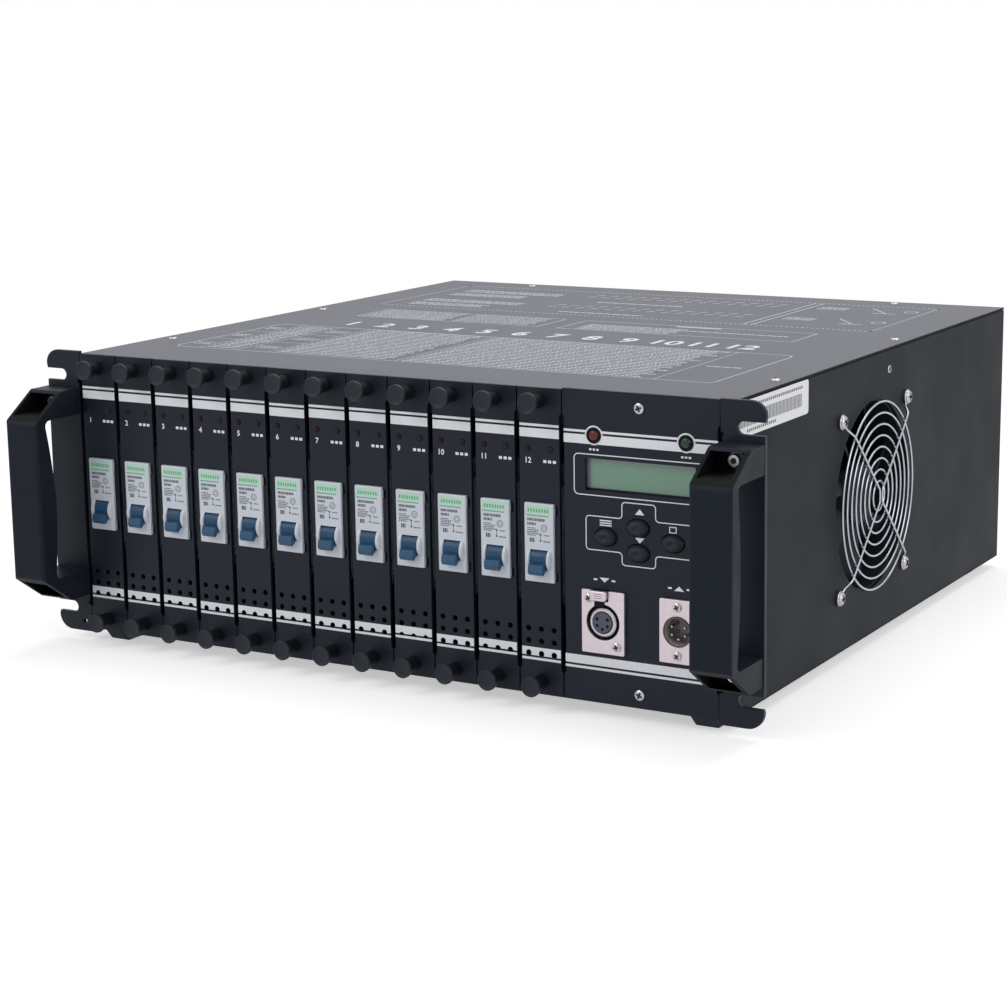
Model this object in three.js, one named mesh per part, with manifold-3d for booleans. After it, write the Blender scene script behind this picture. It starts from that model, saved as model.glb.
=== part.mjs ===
// A twelve-channel rack dimmer pack: sheet-metal case, rack ears with handles, twelve plug-in
// channel modules with their breakers, a control panel with display and keys, and a side fan.
// X runs along the front, Y from the front to the rear, Z up. Millimetres.
// The finished part has its origin under the middle of its bounding box, on the floor.
import * as THREE from 'three';
import { mergeVertices } from 'three/addons/utils/BufferGeometryUtils.js';
import Module from 'manifold-3d';

const wasm = await Module();
wasm.setup();

// Panel row: twelve module plates and one control plate between the rack ears
const channels = 12;
const modulePitch = 28;
const controlPitch = 94.6;
const plateThickness = 2.5;
const plateGap = 0.7;
const reliefDepth = 1.15;
const reliefInset = 13.5;

// Rack ears and the frame behind the plates; the ears span 482.6 in all
const earWidth = 26;
const earReliefInset = 18.5;
const earThickness = 3;
const earCornerRadius = 10;
const rackSlotHeight = 7;
const rackSlotDepth = 14.8;
const rackSlotInset = 15;
const railHeight = 15;
const railDepth = 12;
const sideFlangeDepth = 40;

// Case of folded sheet
const caseDepth = 448.5;
const caseHeight = 173.6;
const caseMargin = 2.7;
const sheet = 1.5;
const lidRailWidth = 15;
const plateRise = 1.65;
const plateOver = 0.85;
const earDrop = 1.2;
const earOver = 2.2;
const ventSlotCount = 8;
const ventSlotWidth = 6;
const ventSlotHeight = 110;
const ventSlotPitch = 14;

// Clearances between pieces, and the length by which a cutter runs past what it cuts
const fitGap = 0.3;
const slideGap = 0.6;
const overrun = 1;
const bite = 0.4;

// Thumbscrews of the modules
const thumbHeadRadius = 6;
const thumbHeadLength = 2.6;
const thumbReach = 13;
const thumbNeckRadius = 4.2;
const threadRadius = 1.9;
const threadLength = 8;
const screwInset = 7.3;

// Vents in a module plate
const ventRadius = 1.5;
const ventColumnPitch = 8.1;
const ventRowPitch = 7.1;
const ventCount = 3;
const ventLowestRise = 22.9;

// Circuit breaker in each module, and its lever
const breakerWidth = 17.8;
const breakerHeight = 81;
const breakerDepth = 64;
const breakerShoulderHeight = 62;
const breakerShoulderDepth = 20;
const noseHeight = 44.5;
const noseReach = 0.8;
const cutoutGap = 0.4;
const leverDrumRadius = 7;
const leverDrumWidth = 10.2;
const leverPaddleWidth = 9.6;
const leverReach = 12;
const leverRootThickness = 4;
const leverTipThickness = 5.6;
const leverPivotDepth = 3.8;
const leverPivotDrop = 9.5;
const leverRestAngle = THREE.MathUtils.degToRad(30);
const cheekRadius = 8;
const cheekInset = 1.2;

// Board, heat sink, choke and plug that each module carries
const boardThickness = 1.6;
const boardInset = 0.3;
const boardClearance = 1.2;
const boardLength = 320;
const bracketThickness = 2;
const bracketHeight = 40;
const heatSinkLength = 150;
const heatSinkHeight = 54;
const heatSinkSetback = 30;
const heatSinkReach = 19;
const finThickness = 2.4;
const finCount = 3;
const chokeRadius = 25;
const chokeWidth = 14;
const plugHeight = 60;
const plugWidth = 8;
const plugLength = 8;

// Bus board behind the modules, with a socket for each
const busBoardThickness = 2;
const socketWall = 2;
const socketDepth = 10;

// Control panel: display, keys, lamps and two data connectors
const windowWidth = 66;
const windowHeight = 17.7;
const windowRiseShare = 0.473;
const displayMargin = 4.5;
const keyWidth = 13.6;
const keyHeight = 9.6;
const keyReach = 3.4;
const keyGap = 0.35;
const keyFlangeWidth = 1.2;
const keyFlangeThickness = 1.5;
const keyStemRadius = 2;
const keyTravel = 1.5;
const keySwitchHeight = 5;
const keySpread = 20.6;
const keyMiddleShare = 0.088;
const keyRise = 7.1;
const lampRadius = 3;
const lampReach = 1.6;
const lampSpread = 27.5;
const lampRiseShare = 0.723;
const connectorDropShare = 0.466;
const outletOffset = -21.5;
const inletOffset = 23.5;
const outletPlateWidth = 26;
const inletPlateWidth = 21.5;
const connectorPlateHeight = 35.4;
const connectorPlateThickness = 2;
const connectorShellRadius = 9.45;
const connectorShellReach = 1.1;
const connectorBodyRadius = 10.8;
const connectorBodyDepth = 24;
const connectorHoleGap = 0.6;
const outletCoreRadius = 7.1;
const outletBoreRadius = 8.2;
const outletBoreDepth = 9;
const inletBoreRadius = 7.9;
const inletBoreDepth = 13;
const pinCount = 5;
const pinRadius = 1.1;
const pinCircleRadius = 4.8;
const pinLength = 11;
const pinHoleRadius = 1.3;
const pinHoleDepth = 9;
const latchWidth = 10;
const latchHeight = 5.6;
const latchReach = 2.2;
const latchOffset = -2;
const latchTravel = 1.5;

// Board behind the control panel, with the supply block
const controlBoardWidth = 84;
const controlBoardStand = 11.2;
const controlBoardMargin = 13.5;
const controlBoardGap = 5;
const postWidth = 5;
const switchWidth = 6.5;
const supplyWidth = 50;
const supplyHeight = 60;
const supplyDepth = 42;

// Handles
const handleWidth = 24.3;
const handleLength = 130.4;
const handleDepth = 41.4;
const handleInset = 1;
const gripLength = 96.4;
const gripEndThickness = 8.7;
const gripBow = 3;
const legThickness = 16.1;
const legFlat = 16.5;
const handleFrontRadius = 2.5;
const handleInnerRadius = 3.5;
const pocketWall = 3.5;
const pocketFloor = 2.7;
const pocketRoof = 1.6;
const pocketBack = 8;
const socketScrewRadius = 3.6;
const socketScrewHeight = 4.5;
const socketKeyRadius = 1.8;
const socketKeyDepth = 2.2;

// Fan, its opening and its wire grille
const fanSize = 120;
const fanDepth = 25;
const fanDistance = 208.5;
const ductRadius = 57;
const fanHoleMargin = 1.5;
const fanHubRadius = 19;
const bladeGap = 2;
const bladeCount = 7;
const bladeThickness = 1.6;
const bladeDepth = 13;
const bladePitch = THREE.MathUtils.degToRad(38);
const rotorLength = 16;
const strutWidth = 5;
const strutThickness = 3;
const axleRadius = 2;
const axleGap = 0.3;
const axleBite = 2;
const fanScrewSpacing = 105;
const grilleRingCount = 8;
const grilleRingRadius = 57;
const grilleRingPitch = 6.9;
const wireRadius = 1;
const grilleStand = 3.5;
const grilleCrossStand = 5.2;
const crossReach = 62;
const crossGap = 1.8;
const grilleScrewRadius = 3.8;
const grilleScrewHeight = 3.4;
const grilleWasherRadius = 4.8;
const grilleWasherThickness = 1.4;

// Panel screws, lid screws and rubber feet
const panelScrewRadius = 3.4;
const panelScrewHeight = 1.8;
const lidScrewInset = 11;
const lidScrewRearInset = 8.5;
const lidScrewFrontSetback = 88;
const lidScrewPitch = 173;
const lidScrewRearSpread = 143;
const footHeight = 7.2;
const footTopWidth = 20;
const footBottomWidth = 14;
const footSideInset = 16.5;
const footFrontSetback = 18.5;
const footRearSetback = 30;

// Rear panel, cable gland and output terminals
const glandRadius = 15;
const glandBoreRadius = 9;
const glandReach = 12;
const glandOffset = 160;
const glandRise = 50;
const terminalHeight = 30;
const terminalDepth = 13;
const terminalPitch = 22;
const terminalBarrier = 2.4;
const terminalBarrierHeight = 6;
const terminalOffset = -20;
const terminalRise = 110;

// Facets round each circle
const fineSides = 24;
const roundSides = 16;
const plainSides = 12;
const smallSides = 8;
const tinySides = 6;
const squareSides = 4;
const wireSides = 4;
const earArcSegments = 3;
const handleArcSegments = 3;

// Levels, edges and places that follow from the sizes above
const bayHalf = (channels * modulePitch + controlPitch) / 2;
const rackHalf = bayHalf + earWidth;
const innerHalf = bayHalf + caseMargin;
const caseHalf = innerHalf + sheet;
const caseBottom = footHeight;
const caseTop = caseBottom + caseHeight;
const floorTop = caseBottom + sheet;
const lidSeat = caseTop - sheet;
const railTop = lidSeat - fitGap;
const railBottom = railTop - sheet;
const roomTop = railBottom - fitGap;
const roomBottom = floorTop + fitGap;
const plateHeight = caseHeight + plateOver - plateRise;
const plateBottom = caseBottom + plateRise;
const plateMiddle = plateBottom + plateHeight / 2;
const earBottom = caseBottom - earDrop;
const earTop = caseTop + earOver;
const plateBack = plateThickness + fitGap;
const railBack = plateBack + railDepth;
const caseFront = earThickness + fitGap;
const screwRise = plateHeight / 2 - screwInset;
const moduleWidth = modulePitch - plateGap;
const controlWidth = controlPitch - plateGap;
const controlX = bayHalf - controlPitch / 2;
const fanZ = caseBottom + caseHeight / 2;
const windowRise = (windowRiseShare * plateHeight) / 2;
const keyMiddleRise = (keyMiddleShare * plateHeight) / 2;
const lampRise = (lampRiseShare * plateHeight) / 2;
const connectorDrop = (connectorDropShare * plateHeight) / 2;
const roomAbove = roomTop - railHeight - plateMiddle;
const roomBelow = plateMiddle - roomBottom - railHeight;
const boardHalf = Math.min(roomAbove, roomBelow) - boardClearance;
const boardLeft = -(moduleWidth / 2 - reliefDepth - boardInset);
const boardRight = boardLeft + boardThickness;
const boardEnd = plateThickness + boardLength;
const plugEnd = boardEnd + plugLength;
const busFace = boardEnd + slideGap + socketDepth;
const terminalLength = channels * terminalPitch + terminalBarrier;
const terminalBack = caseDepth + fitGap + terminalDepth;
const moduleX = (index) => (index + 1 / 2) * modulePitch - bayHalf;

// Solids from three.js geometries
function signedVolume(points, corners) {
  const a = new THREE.Vector3();
  const b = new THREE.Vector3();
  const c = new THREE.Vector3();
  let sum = 0;
  for (let i = 0; i < corners.length; i += 3) {
    a.fromArray(points, corners[i] * 3);
    b.fromArray(points, corners[i + 1] * 3);
    c.fromArray(points, corners[i + 2] * 3);
    sum += a.dot(b.cross(c));
  }
  return sum;
}

function toSolid(geometry) {
  const bare = geometry.clone();
  bare.deleteAttribute('normal');
  bare.deleteAttribute('uv');
  const merged = mergeVertices(bare);
  const points = merged.attributes.position.array;
  const all = merged.index.array;
  const corners = [];
  for (let i = 0; i < all.length; i += 3) {
    const [a, b, c] = [all[i], all[i + 1], all[i + 2]];
    if (a !== b && b !== c && c !== a) corners.push(a, b, c);
  }
  if (signedVolume(points, corners) < 0) corners.reverse();
  return new wasm.Manifold(new wasm.Mesh({
    numProp: 3,
    vertProperties: Float32Array.from(points),
    triVerts: Uint32Array.from(corners),
  }));
}

function toGeometry(solid) {
  const mesh = solid.getMesh();
  const geometry = new THREE.BufferGeometry();
  geometry.setAttribute('position', new THREE.BufferAttribute(mesh.vertProperties, 3));
  geometry.setIndex(new THREE.BufferAttribute(mesh.triVerts, 1));
  geometry.computeVertexNormals();
  return geometry;
}

const join = (first, ...others) => others.reduce((whole, piece) => whole.add(piece), first);
const cut = (first, ...others) => others.reduce((whole, piece) => whole.subtract(piece), first);

// Columns of a matrix that lays a shape's own x, y and depth along the part's axes
const layouts = {
  x: [new THREE.Vector3(0, 1, 0), new THREE.Vector3(0, 0, 1), new THREE.Vector3(1, 0, 0)],
  y: [new THREE.Vector3(1, 0, 0), new THREE.Vector3(0, 0, 1), new THREE.Vector3(0, 1, 0)],
  z: [new THREE.Vector3(1, 0, 0), new THREE.Vector3(0, 1, 0), new THREE.Vector3(0, 0, 1)],
};

function block([x0, x1], [y0, y1], [z0, z1]) {
  const geometry = new THREE.BoxGeometry(x1 - x0, y1 - y0, z1 - z0);
  geometry.translate((x0 + x1) / 2, (y0 + y1) / 2, (z0 + z1) / 2);
  return toSolid(geometry);
}

function extruded(axis, shape, [start, end], curveSegments = 1) {
  const settings = { depth: end - start, bevelEnabled: false, curveSegments };
  const geometry = new THREE.ExtrudeGeometry(shape, settings);
  geometry.translate(0, 0, start);
  geometry.applyMatrix4(new THREE.Matrix4().makeBasis(...layouts[axis]));
  return toSolid(geometry);
}

const outline = (points) => new THREE.Shape(points.map(([u, v]) => new THREE.Vector2(u, v)));

const lathed = (profile, sides) =>
  new THREE.LatheGeometry(profile.map(([r, d]) => new THREE.Vector2(r, d)), sides);

// A body turned about an axis: the profile lists radius and distance along the axis
function turned(axis, profile, sides, centre = [0, 0, 0]) {
  const geometry = lathed(profile, sides);
  if (axis === 'x') geometry.rotateZ(-Math.PI / 2);
  if (axis === 'z') geometry.rotateX(Math.PI / 2);
  geometry.translate(...centre);
  return toSolid(geometry);
}

const rod = (axis, radius, [start, end], sides, centre) =>
  turned(axis, [[0, start], [radius, start], [radius, end], [0, end]], sides, centre);

// A straight round bar between two points
function bar(from, to, radius, sides) {
  const a = new THREE.Vector3(...from);
  const b = new THREE.Vector3(...to);
  const along = b.clone().sub(a);
  const geometry = new THREE.CylinderGeometry(radius, radius, along.length(), sides);
  const turn = new THREE.Quaternion().setFromUnitVectors(new THREE.Vector3(0, 1, 0), along.normalize());
  geometry.applyQuaternion(turn);
  geometry.translate(...a.add(b).divideScalar(2).toArray());
  return toSolid(geometry);
}

function ovalHole(x, y, [halfWidth, halfHeight], sides) {
  const path = new THREE.Path();
  for (let i = 0; i < sides; i += 1) {
    const angle = (i / sides) * 2 * Math.PI;
    path[i ? 'lineTo' : 'moveTo'](x + halfWidth * Math.cos(angle), y + halfHeight * Math.sin(angle));
  }
  path.closePath();
  return path;
}

const polygonHole = (x, y, radius, sides) => ovalHole(x, y, [radius, radius], sides);

// A span on one side of the middle, for the side that is asked for
const mirrored = ([near, far], side) => (side > 0 ? [near, far] : [-far, -near]);

const rectangleHole = ([x0, x1], [y0, y1]) =>
  new THREE.Path([[x0, y0], [x1, y0], [x1, y1], [x0, y1]].map(([x, y]) => new THREE.Vector2(x, y)));

// A front plate's outline in X and Z about its middle, its long edges cut back between the ends
function plateShape(width) {
  const half = width / 2;
  const top = plateHeight / 2;
  const edge = top - reliefInset;
  const right = [[half, -top], [half, -edge], [half - reliefDepth, reliefDepth - edge],
    [half - reliefDepth, edge - reliefDepth], [half, edge], [half, top]];
  const left = right.map(([x, z]) => [-x, -z]);
  return outline([...right, ...left]);
}

// A domed screw head on a seat, standing out by its height along the axis
function domedScrew(axis, radius, height, centre, seat) {
  const share = 1 / 2;
  const sunk = seat - bite * Math.sign(height);
  return turned(axis, [[0, sunk], [radius, sunk], [radius, seat + height * share],
    [radius * share, seat + height], [0, seat + height]], smallSides, centre);
}

// Frame: two rack ears, the flanges that hold them to the case sides, two rails behind the plates
// and three rails under the lid's edges
function earShape(side) {
  const radius = rackSlotHeight / 2;
  const corner = Math.min(earCornerRadius, rackSlotInset - radius);
  const slotCentre = rackHalf - rackSlotDepth + radius;
  const inner = [earBottom + earReliefInset, earTop - earReliefInset];
  const shape = new THREE.Shape();
  shape.moveTo(bayHalf, earBottom);
  shape.lineTo(rackHalf - corner, earBottom);
  shape.absarc(rackHalf - corner, earBottom + corner, corner, -Math.PI / 2, 0);
  for (const level of [earBottom + rackSlotInset, earTop - rackSlotInset]) {
    shape.lineTo(rackHalf, level - radius);
    shape.absarc(slotCentre, level, radius, -Math.PI / 2, Math.PI / 2, true);
    shape.lineTo(rackHalf, level + radius);
  }
  shape.absarc(rackHalf - corner, earTop - corner, corner, 0, Math.PI / 2);
  shape.lineTo(bayHalf, earTop);
  shape.lineTo(bayHalf, inner[1]);
  shape.lineTo(bayHalf + reliefDepth, inner[1] - reliefDepth);
  shape.lineTo(bayHalf + reliefDepth, inner[0] + reliefDepth);
  shape.lineTo(bayHalf, inner[0]);
  if (side > 0) return shape;
  return outline(shape.getPoints(earArcSegments).map((p) => [-p.x, p.y]));
}

function caseFrame() {
  const holeSpan = [plateBack - overrun, railBack + overrun];
  const holeRadius = (threadRadius + fitGap) / Math.cos(Math.PI / tinySides);
  const outer = innerHalf - fitGap;
  const inner = outer - lidRailWidth;
  const flangeX = [bayHalf + reliefDepth + fitGap / 2, outer];
  const lidRailZ = [railBottom, railTop];
  let frame = block([-outer, outer], [plateBack, railBack], [roomBottom, roomBottom + railHeight]);
  frame = join(frame, block([-outer, outer], [plateBack, railBack], [roomTop - railHeight, railTop]));
  frame = join(frame, block([-outer, outer], [caseDepth - lidRailWidth, caseDepth], lidRailZ));
  for (const side of [-1, 1]) {
    const ear = extruded('y', earShape(side), [0, earThickness], earArcSegments);
    const [spanX, lidRailX] = [flangeX, [inner, outer]].map((span) => mirrored(span, side));
    const flange = block(spanX, [earThickness - bite, sideFlangeDepth], [roomBottom, railTop]);
    frame = join(frame, ear, flange, block(lidRailX, [plateBack, caseDepth], lidRailZ));
  }
  for (let i = 0; i < channels; i += 1) {
    for (const rise of [-screwRise, screwRise]) {
      const at = [moduleX(i), 0, plateMiddle + rise];
      frame = cut(frame, rod('y', holeRadius, holeSpan, tinySides, at));
    }
  }
  return frame;
}

// Case tray: floor and two sides, the right one with the fan's hole and the left one with vents
function chassis() {
  const length = [caseFront, caseDepth];
  let tray = block([-caseHalf, caseHalf], length, [caseBottom, floorTop]);
  for (const side of [-1, 1]) {
    const wallX = mirrored([innerHalf, caseHalf], side);
    tray = join(tray, block(wallX, length, [caseBottom, railTop]));
  }
  const wallCut = [innerHalf - overrun, caseHalf + overrun];
  const holeRadius = ductRadius + fanHoleMargin;
  tray = cut(tray, rod('x', holeRadius, wallCut, plainSides, [0, fanDistance, fanZ]));
  for (let i = 0; i < ventSlotCount; i += 1) {
    const y = fanDistance + (i - (ventSlotCount - 1) / 2) * ventSlotPitch;
    const spanY = [y - ventSlotWidth / 2, y + ventSlotWidth / 2];
    const spanZ = [fanZ - ventSlotHeight / 2, fanZ + ventSlotHeight / 2];
    tray = cut(tray, block(mirrored(wallCut, -1), spanY, spanZ));
  }
  return tray;
}

// Lid: it lies on the frame's rails, and its screws stand over them
function lid() {
  let cover = block([-caseHalf, caseHalf], [caseFront, caseDepth], [lidSeat, caseTop]);
  const places = [];
  for (const side of [-1, 1]) {
    for (const step of [0, 1]) {
      places.push([side * (caseHalf - lidScrewInset), lidScrewFrontSetback + step * lidScrewPitch]);
    }
    places.push([side * lidScrewRearSpread, caseDepth - lidScrewRearInset]);
  }
  for (const [x, y] of places) {
    const head = domedScrew('z', panelScrewRadius, panelScrewHeight, [x, y, 0], caseTop);
    cover = join(cover, head);
  }
  return cover;
}

function rearPanel() {
  const wide = [fitGap - innerHalf, innerHalf - fitGap];
  const glandSpan = [caseDepth - bite, caseDepth + glandReach];
  const boreSpan = [caseDepth - sheet - overrun, caseDepth + glandReach + overrun];
  const at = [glandOffset, 0, caseBottom + glandRise];
  const panel = block(wide, [caseDepth - sheet, caseDepth], [roomBottom, roomTop]);
  const gland = rod('y', glandRadius, glandSpan, tinySides, at);
  return cut(join(panel, gland), rod('y', glandBoreRadius, boreSpan, smallSides, at));
}

// Output terminals: a base strip with a barrier on each side of every channel's screw place
function outputTerminals() {
  const [left, right] = [terminalOffset - terminalLength / 2, terminalOffset + terminalLength / 2];
  const z = caseBottom + terminalRise;
  const span = [z - terminalHeight / 2, z + terminalHeight / 2];
  const face = caseDepth + fitGap;
  let strip = block([left, right], [face, terminalBack - terminalBarrierHeight], span);
  for (let i = 0; i <= channels; i += 1) {
    const x = left + i * terminalPitch;
    strip = join(strip, block([x, x + terminalBarrier], [face, terminalBack], span));
  }
  return strip;
}

// Channel module: plate with vents and breaker cut-out, two captive thumbscrews, board with its
// breaker bracket, heat sink, choke and rear plug
function thumbscrew(rise) {
  const headBack = thumbHeadLength - thumbReach;
  const middle = plateThickness / 2;
  const end = plateBack + threadLength;
  return turned('y', [[0, -thumbReach], [thumbHeadRadius, -thumbReach], [thumbHeadRadius, headBack],
    [thumbNeckRadius, headBack], [thumbNeckRadius, middle], [threadRadius, middle],
    [threadRadius, end], [0, end]], smallSides, [0, 0, rise]);
}

function heatSink() {
  const root = boardRight - bite;
  const base = boardRight + finThickness;
  const tip = boardRight + heatSinkReach;
  const step = (heatSinkHeight - finThickness) / (finCount - 1);
  const points = [[root, 0], [tip, 0]];
  for (let i = 0; i < finCount; i += 1) {
    if (i) points.push([base, i * step], [tip, i * step]);
    points.push([tip, i * step + finThickness]);
    if (i < finCount - 1) points.push([base, i * step + finThickness]);
  }
  points.push([root, heatSinkHeight]);
  const start = plateBack + breakerDepth + heatSinkSetback;
  const sink = new THREE.Shape(points.map(([x, z]) => new THREE.Vector2(x, z - boardHalf + boardClearance)));
  return extruded('y', sink, [start, start + heatSinkLength]);
}

function moduleCarrier() {
  const shape = plateShape(moduleWidth);
  const cutoutX = breakerWidth / 2 + cutoutGap;
  const cutoutZ = noseHeight / 2 + cutoutGap;
  shape.holes.push(rectangleHole([-cutoutX, cutoutX], [-cutoutZ, cutoutZ]));
  for (let row = 0; row < ventCount; row += 1) {
    for (let column = 0; column < ventCount; column += 1) {
      const x = (column - (ventCount - 1) / 2) * ventColumnPitch;
      const z = ventLowestRise + row * ventRowPitch - plateHeight / 2;
      shape.holes.push(polygonHole(x, z, ventRadius, tinySides));
    }
  }
  const plate = extruded('y', shape, [0, plateThickness]);
  const boardY = [plateThickness - bite, boardEnd];
  const board = block([boardLeft, boardRight], boardY, [-boardHalf, boardHalf]);
  const breakerBack = plateBack + breakerDepth;
  const bracketY = [breakerBack + fitGap, breakerBack + fitGap + bracketThickness];
  const bracketZ = [-bracketHeight / 2, bracketHeight / 2];
  const bracket = block([boardRight - bite, breakerWidth / 2], bracketY, bracketZ);
  const chokeY = breakerBack + heatSinkSetback + chokeRadius;
  const chokeZ = boardHalf - chokeRadius - boardClearance;
  const chokeSpan = [boardRight - bite, boardRight + chokeWidth];
  const choke = rod('x', chokeRadius, chokeSpan, smallSides, [0, chokeY, chokeZ]);
  const plugY = [boardEnd - plugLength, plugEnd];
  const plug = block([boardLeft, boardLeft + plugWidth], plugY, [-plugHeight / 2, plugHeight / 2]);
  const screws = [thumbscrew(-screwRise), thumbscrew(screwRise)];
  return join(plate, ...screws, board, bracket, heatSink(), choke, plug);
}

// Breaker: stepped body, nose through the plate, round cheeks beside the lever's slot
// The lever swings alike up and down, and crosses the nose's face at this distance from its pivot
const leverHalfRoot = leverRootThickness / 2;
const leverFaceDepth = leverPivotDepth + noseReach;
const leverFaceDrop = leverFaceDepth * Math.tan(leverRestAngle) + leverHalfRoot / Math.cos(leverRestAngle);
const leverFaceReach = Math.hypot(leverFaceDepth, leverFaceDrop);
const leverClear = Math.max(Math.hypot(leverDrumRadius, leverHalfRoot), leverFaceReach);
const leverSlotRadius = (leverClear + fitGap) / Math.cos(Math.PI / plainSides);
const leverSlotHalf = leverDrumWidth / 2 + fitGap;

function breaker() {
  const [nose, shoulder, full] = [noseHeight / 2, breakerShoulderHeight / 2, breakerHeight / 2];
  const step = plateBack + breakerShoulderDepth;
  const back = plateBack + breakerDepth;
  const upper = [[-noseReach, nose], [plateBack, nose], [plateBack, shoulder], [step, shoulder],
    [step, full], [back, full]];
  const lower = upper.map(([y, z]) => [y, -z]).reverse();
  const half = breakerWidth / 2;
  const body = extruded('x', outline([...upper, ...lower]), [-half, half]);
  const pivot = [0, leverPivotDepth, -leverPivotDrop];
  const cheek = (span) => rod('x', cheekRadius, span, plainSides, pivot);
  const slot = rod('x', leverSlotRadius, [-leverSlotHalf, leverSlotHalf], plainSides, pivot);
  const cheeks = [[cheekInset - half, -leverSlotHalf], [leverSlotHalf, half - cheekInset]];
  return join(cut(body, slot), ...cheeks.map(cheek));
}

// Lever, about its own pivot axis, resting down
function lever() {
  const drum = rod('x', leverDrumRadius, [-leverDrumWidth / 2, leverDrumWidth / 2], plainSides);
  const root = leverDrumRadius - leverRootThickness;
  const [inner, outer] = [leverRootThickness / 2, leverTipThickness / 2];
  const paddle = outline([[-root, -inner], [-leverDrumRadius, -inner], [-leverReach, -outer],
    [-leverReach, 0], [-leverReach + outer, outer], [-leverDrumRadius, inner], [-root, inner]]);
  const blade = new THREE.ExtrudeGeometry(paddle, { depth: leverPaddleWidth, bevelEnabled: false });
  blade.translate(0, 0, -leverPaddleWidth / 2);
  blade.applyMatrix4(new THREE.Matrix4().makeBasis(...layouts.x));
  blade.rotateX(leverRestAngle);
  return join(drum, toSolid(blade));
}

// Bus board with one socket for each module's plug
function busBoard() {
  const [left, right] = [fitGap - bayHalf, channels * modulePitch - bayHalf - fitGap];
  let board = block([left, right], [busFace, busFace + busBoardThickness], [roomBottom, roomTop]);
  const socketFront = boardEnd + slideGap;
  for (let i = 0; i < channels; i += 1) {
    const plugX = moduleX(i) + boardLeft;
    const bore = [plugX - cutoutGap, plugX + plugWidth + cutoutGap];
    const half = plugHeight / 2 + cutoutGap;
    const shellLeft = Math.max(bore[0] - socketWall, moduleX(i) - modulePitch / 2 + fitGap);
    const shellZ = [plateMiddle - half - socketWall, plateMiddle + half + socketWall];
    board = join(board, block([shellLeft, bore[1] + socketWall], [socketFront, busFace + bite], shellZ));
    const boreY = [socketFront - overrun, plugEnd + fitGap];
    board = cut(board, block(bore, boreY, [plateMiddle - half, plateMiddle + half]));
  }
  return board;
}

// Control panel about its own middle
const keyPlaces = {
  button_menu: [-keySpread, keyMiddleRise],
  button_up: [0, keyMiddleRise + keyRise],
  button_down: [0, keyMiddleRise - keyRise],
  button_esc: [keySpread, keyMiddleRise],
};

function controlPanel() {
  const shape = plateShape(controlWidth);
  const windowZ = [windowRise - windowHeight / 2, windowRise + windowHeight / 2];
  shape.holes.push(rectangleHole([-windowWidth / 2, windowWidth / 2], windowZ));
  const corner = 1 / Math.cos(Math.PI / plainSides);
  const keyHole = [keyWidth, keyHeight].map((size) => (size / 2 + keyGap) * corner);
  for (const [x, z] of Object.values(keyPlaces)) {
    shape.holes.push(ovalHole(x, z, keyHole, plainSides));
  }
  const connectorHoleRadius = connectorBodyRadius + connectorHoleGap;
  for (const x of [outletOffset, inletOffset]) {
    shape.holes.push(polygonHole(x, -connectorDrop, connectorHoleRadius, roundSides));
  }
  let panel = extruded('y', shape, [0, plateThickness]);
  for (const side of [-1, 1]) {
    const screwAt = [0, 0, side * screwRise];
    panel = join(panel, domedScrew('y', panelScrewRadius, -panelScrewHeight, screwAt, 0));
    const lampAt = [side * lampSpread, 0, lampRise];
    panel = join(panel, domedScrew('y', lampRadius, -lampReach, lampAt, 0));
  }
  return panel;
}

// Control board: display module, key switches, stand-off posts and the supply block
function controlBoard() {
  const face = plateBack + controlBoardStand;
  const back = face + boardThickness;
  const half = controlBoardWidth / 2;
  const [low, high] = [keyMiddleRise - keyRise - controlBoardMargin, roomAbove - controlBoardGap];
  let board = block([-half, half], [face, back], [low, high]);
  const displayX = windowWidth / 2 + displayMargin;
  const displayHalf = windowHeight / 2 + displayMargin;
  const displayZ = [windowRise - displayHalf, windowRise + displayHalf];
  board = join(board, block([-displayX, displayX], [plateBack, face + bite], displayZ));
  const w = switchWidth / 2;
  const switchY = [face - keySwitchHeight, face + bite];
  for (const [x, z] of Object.values(keyPlaces)) {
    board = join(board, block([x - w, x + w], switchY, [z - w, z + w]));
  }
  for (const side of [-1, 1]) {
    const x = side * (half - postWidth / 2);
    for (const z of [low + postWidth / 2, high - postWidth / 2]) {
      const spanX = [x - postWidth / 2, x + postWidth / 2];
      const spanZ = [z - postWidth / 2, z + postWidth / 2];
      board = join(board, block(spanX, [plateBack, face + bite], spanZ));
    }
  }
  const middle = (low + high) / 2;
  const supplyZ = [middle - supplyHeight / 2, middle + supplyHeight / 2];
  const supplyX = [-supplyWidth / 2, supplyWidth / 2];
  return join(board, block(supplyX, [back - bite, back + supplyDepth], supplyZ));
}

// A key about its own axis: oval domed cap, flange behind the panel and stem to its switch
function key() {
  const half = keyWidth / 2;
  const flangeBack = plateBack + keyFlangeThickness;
  const stemEnd = plateBack + controlBoardStand - keySwitchHeight - keyTravel - fitGap;
  const wide = half + keyFlangeWidth;
  const domeShares = [[0.62, 0.92], [0.92, 0.6]];
  const dome = domeShares.map(([across, up]) => [half * across, -keyReach * up]);
  const profile = [[0, -keyReach], ...dome, [half, 0], [half, plateBack], [wide, plateBack],
    [wide, flangeBack], [keyStemRadius, flangeBack], [keyStemRadius, stemEnd], [0, stemEnd]];
  const geometry = lathed(profile, plainSides);
  geometry.scale(1, 1, keyHeight / keyWidth);
  return toSolid(geometry);
}

// Data connectors about their own axes: both stand on a plate in front of the panel
const connectorFace = -(fitGap + connectorPlateThickness);
const connectorFront = connectorFace - connectorShellReach;

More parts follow.
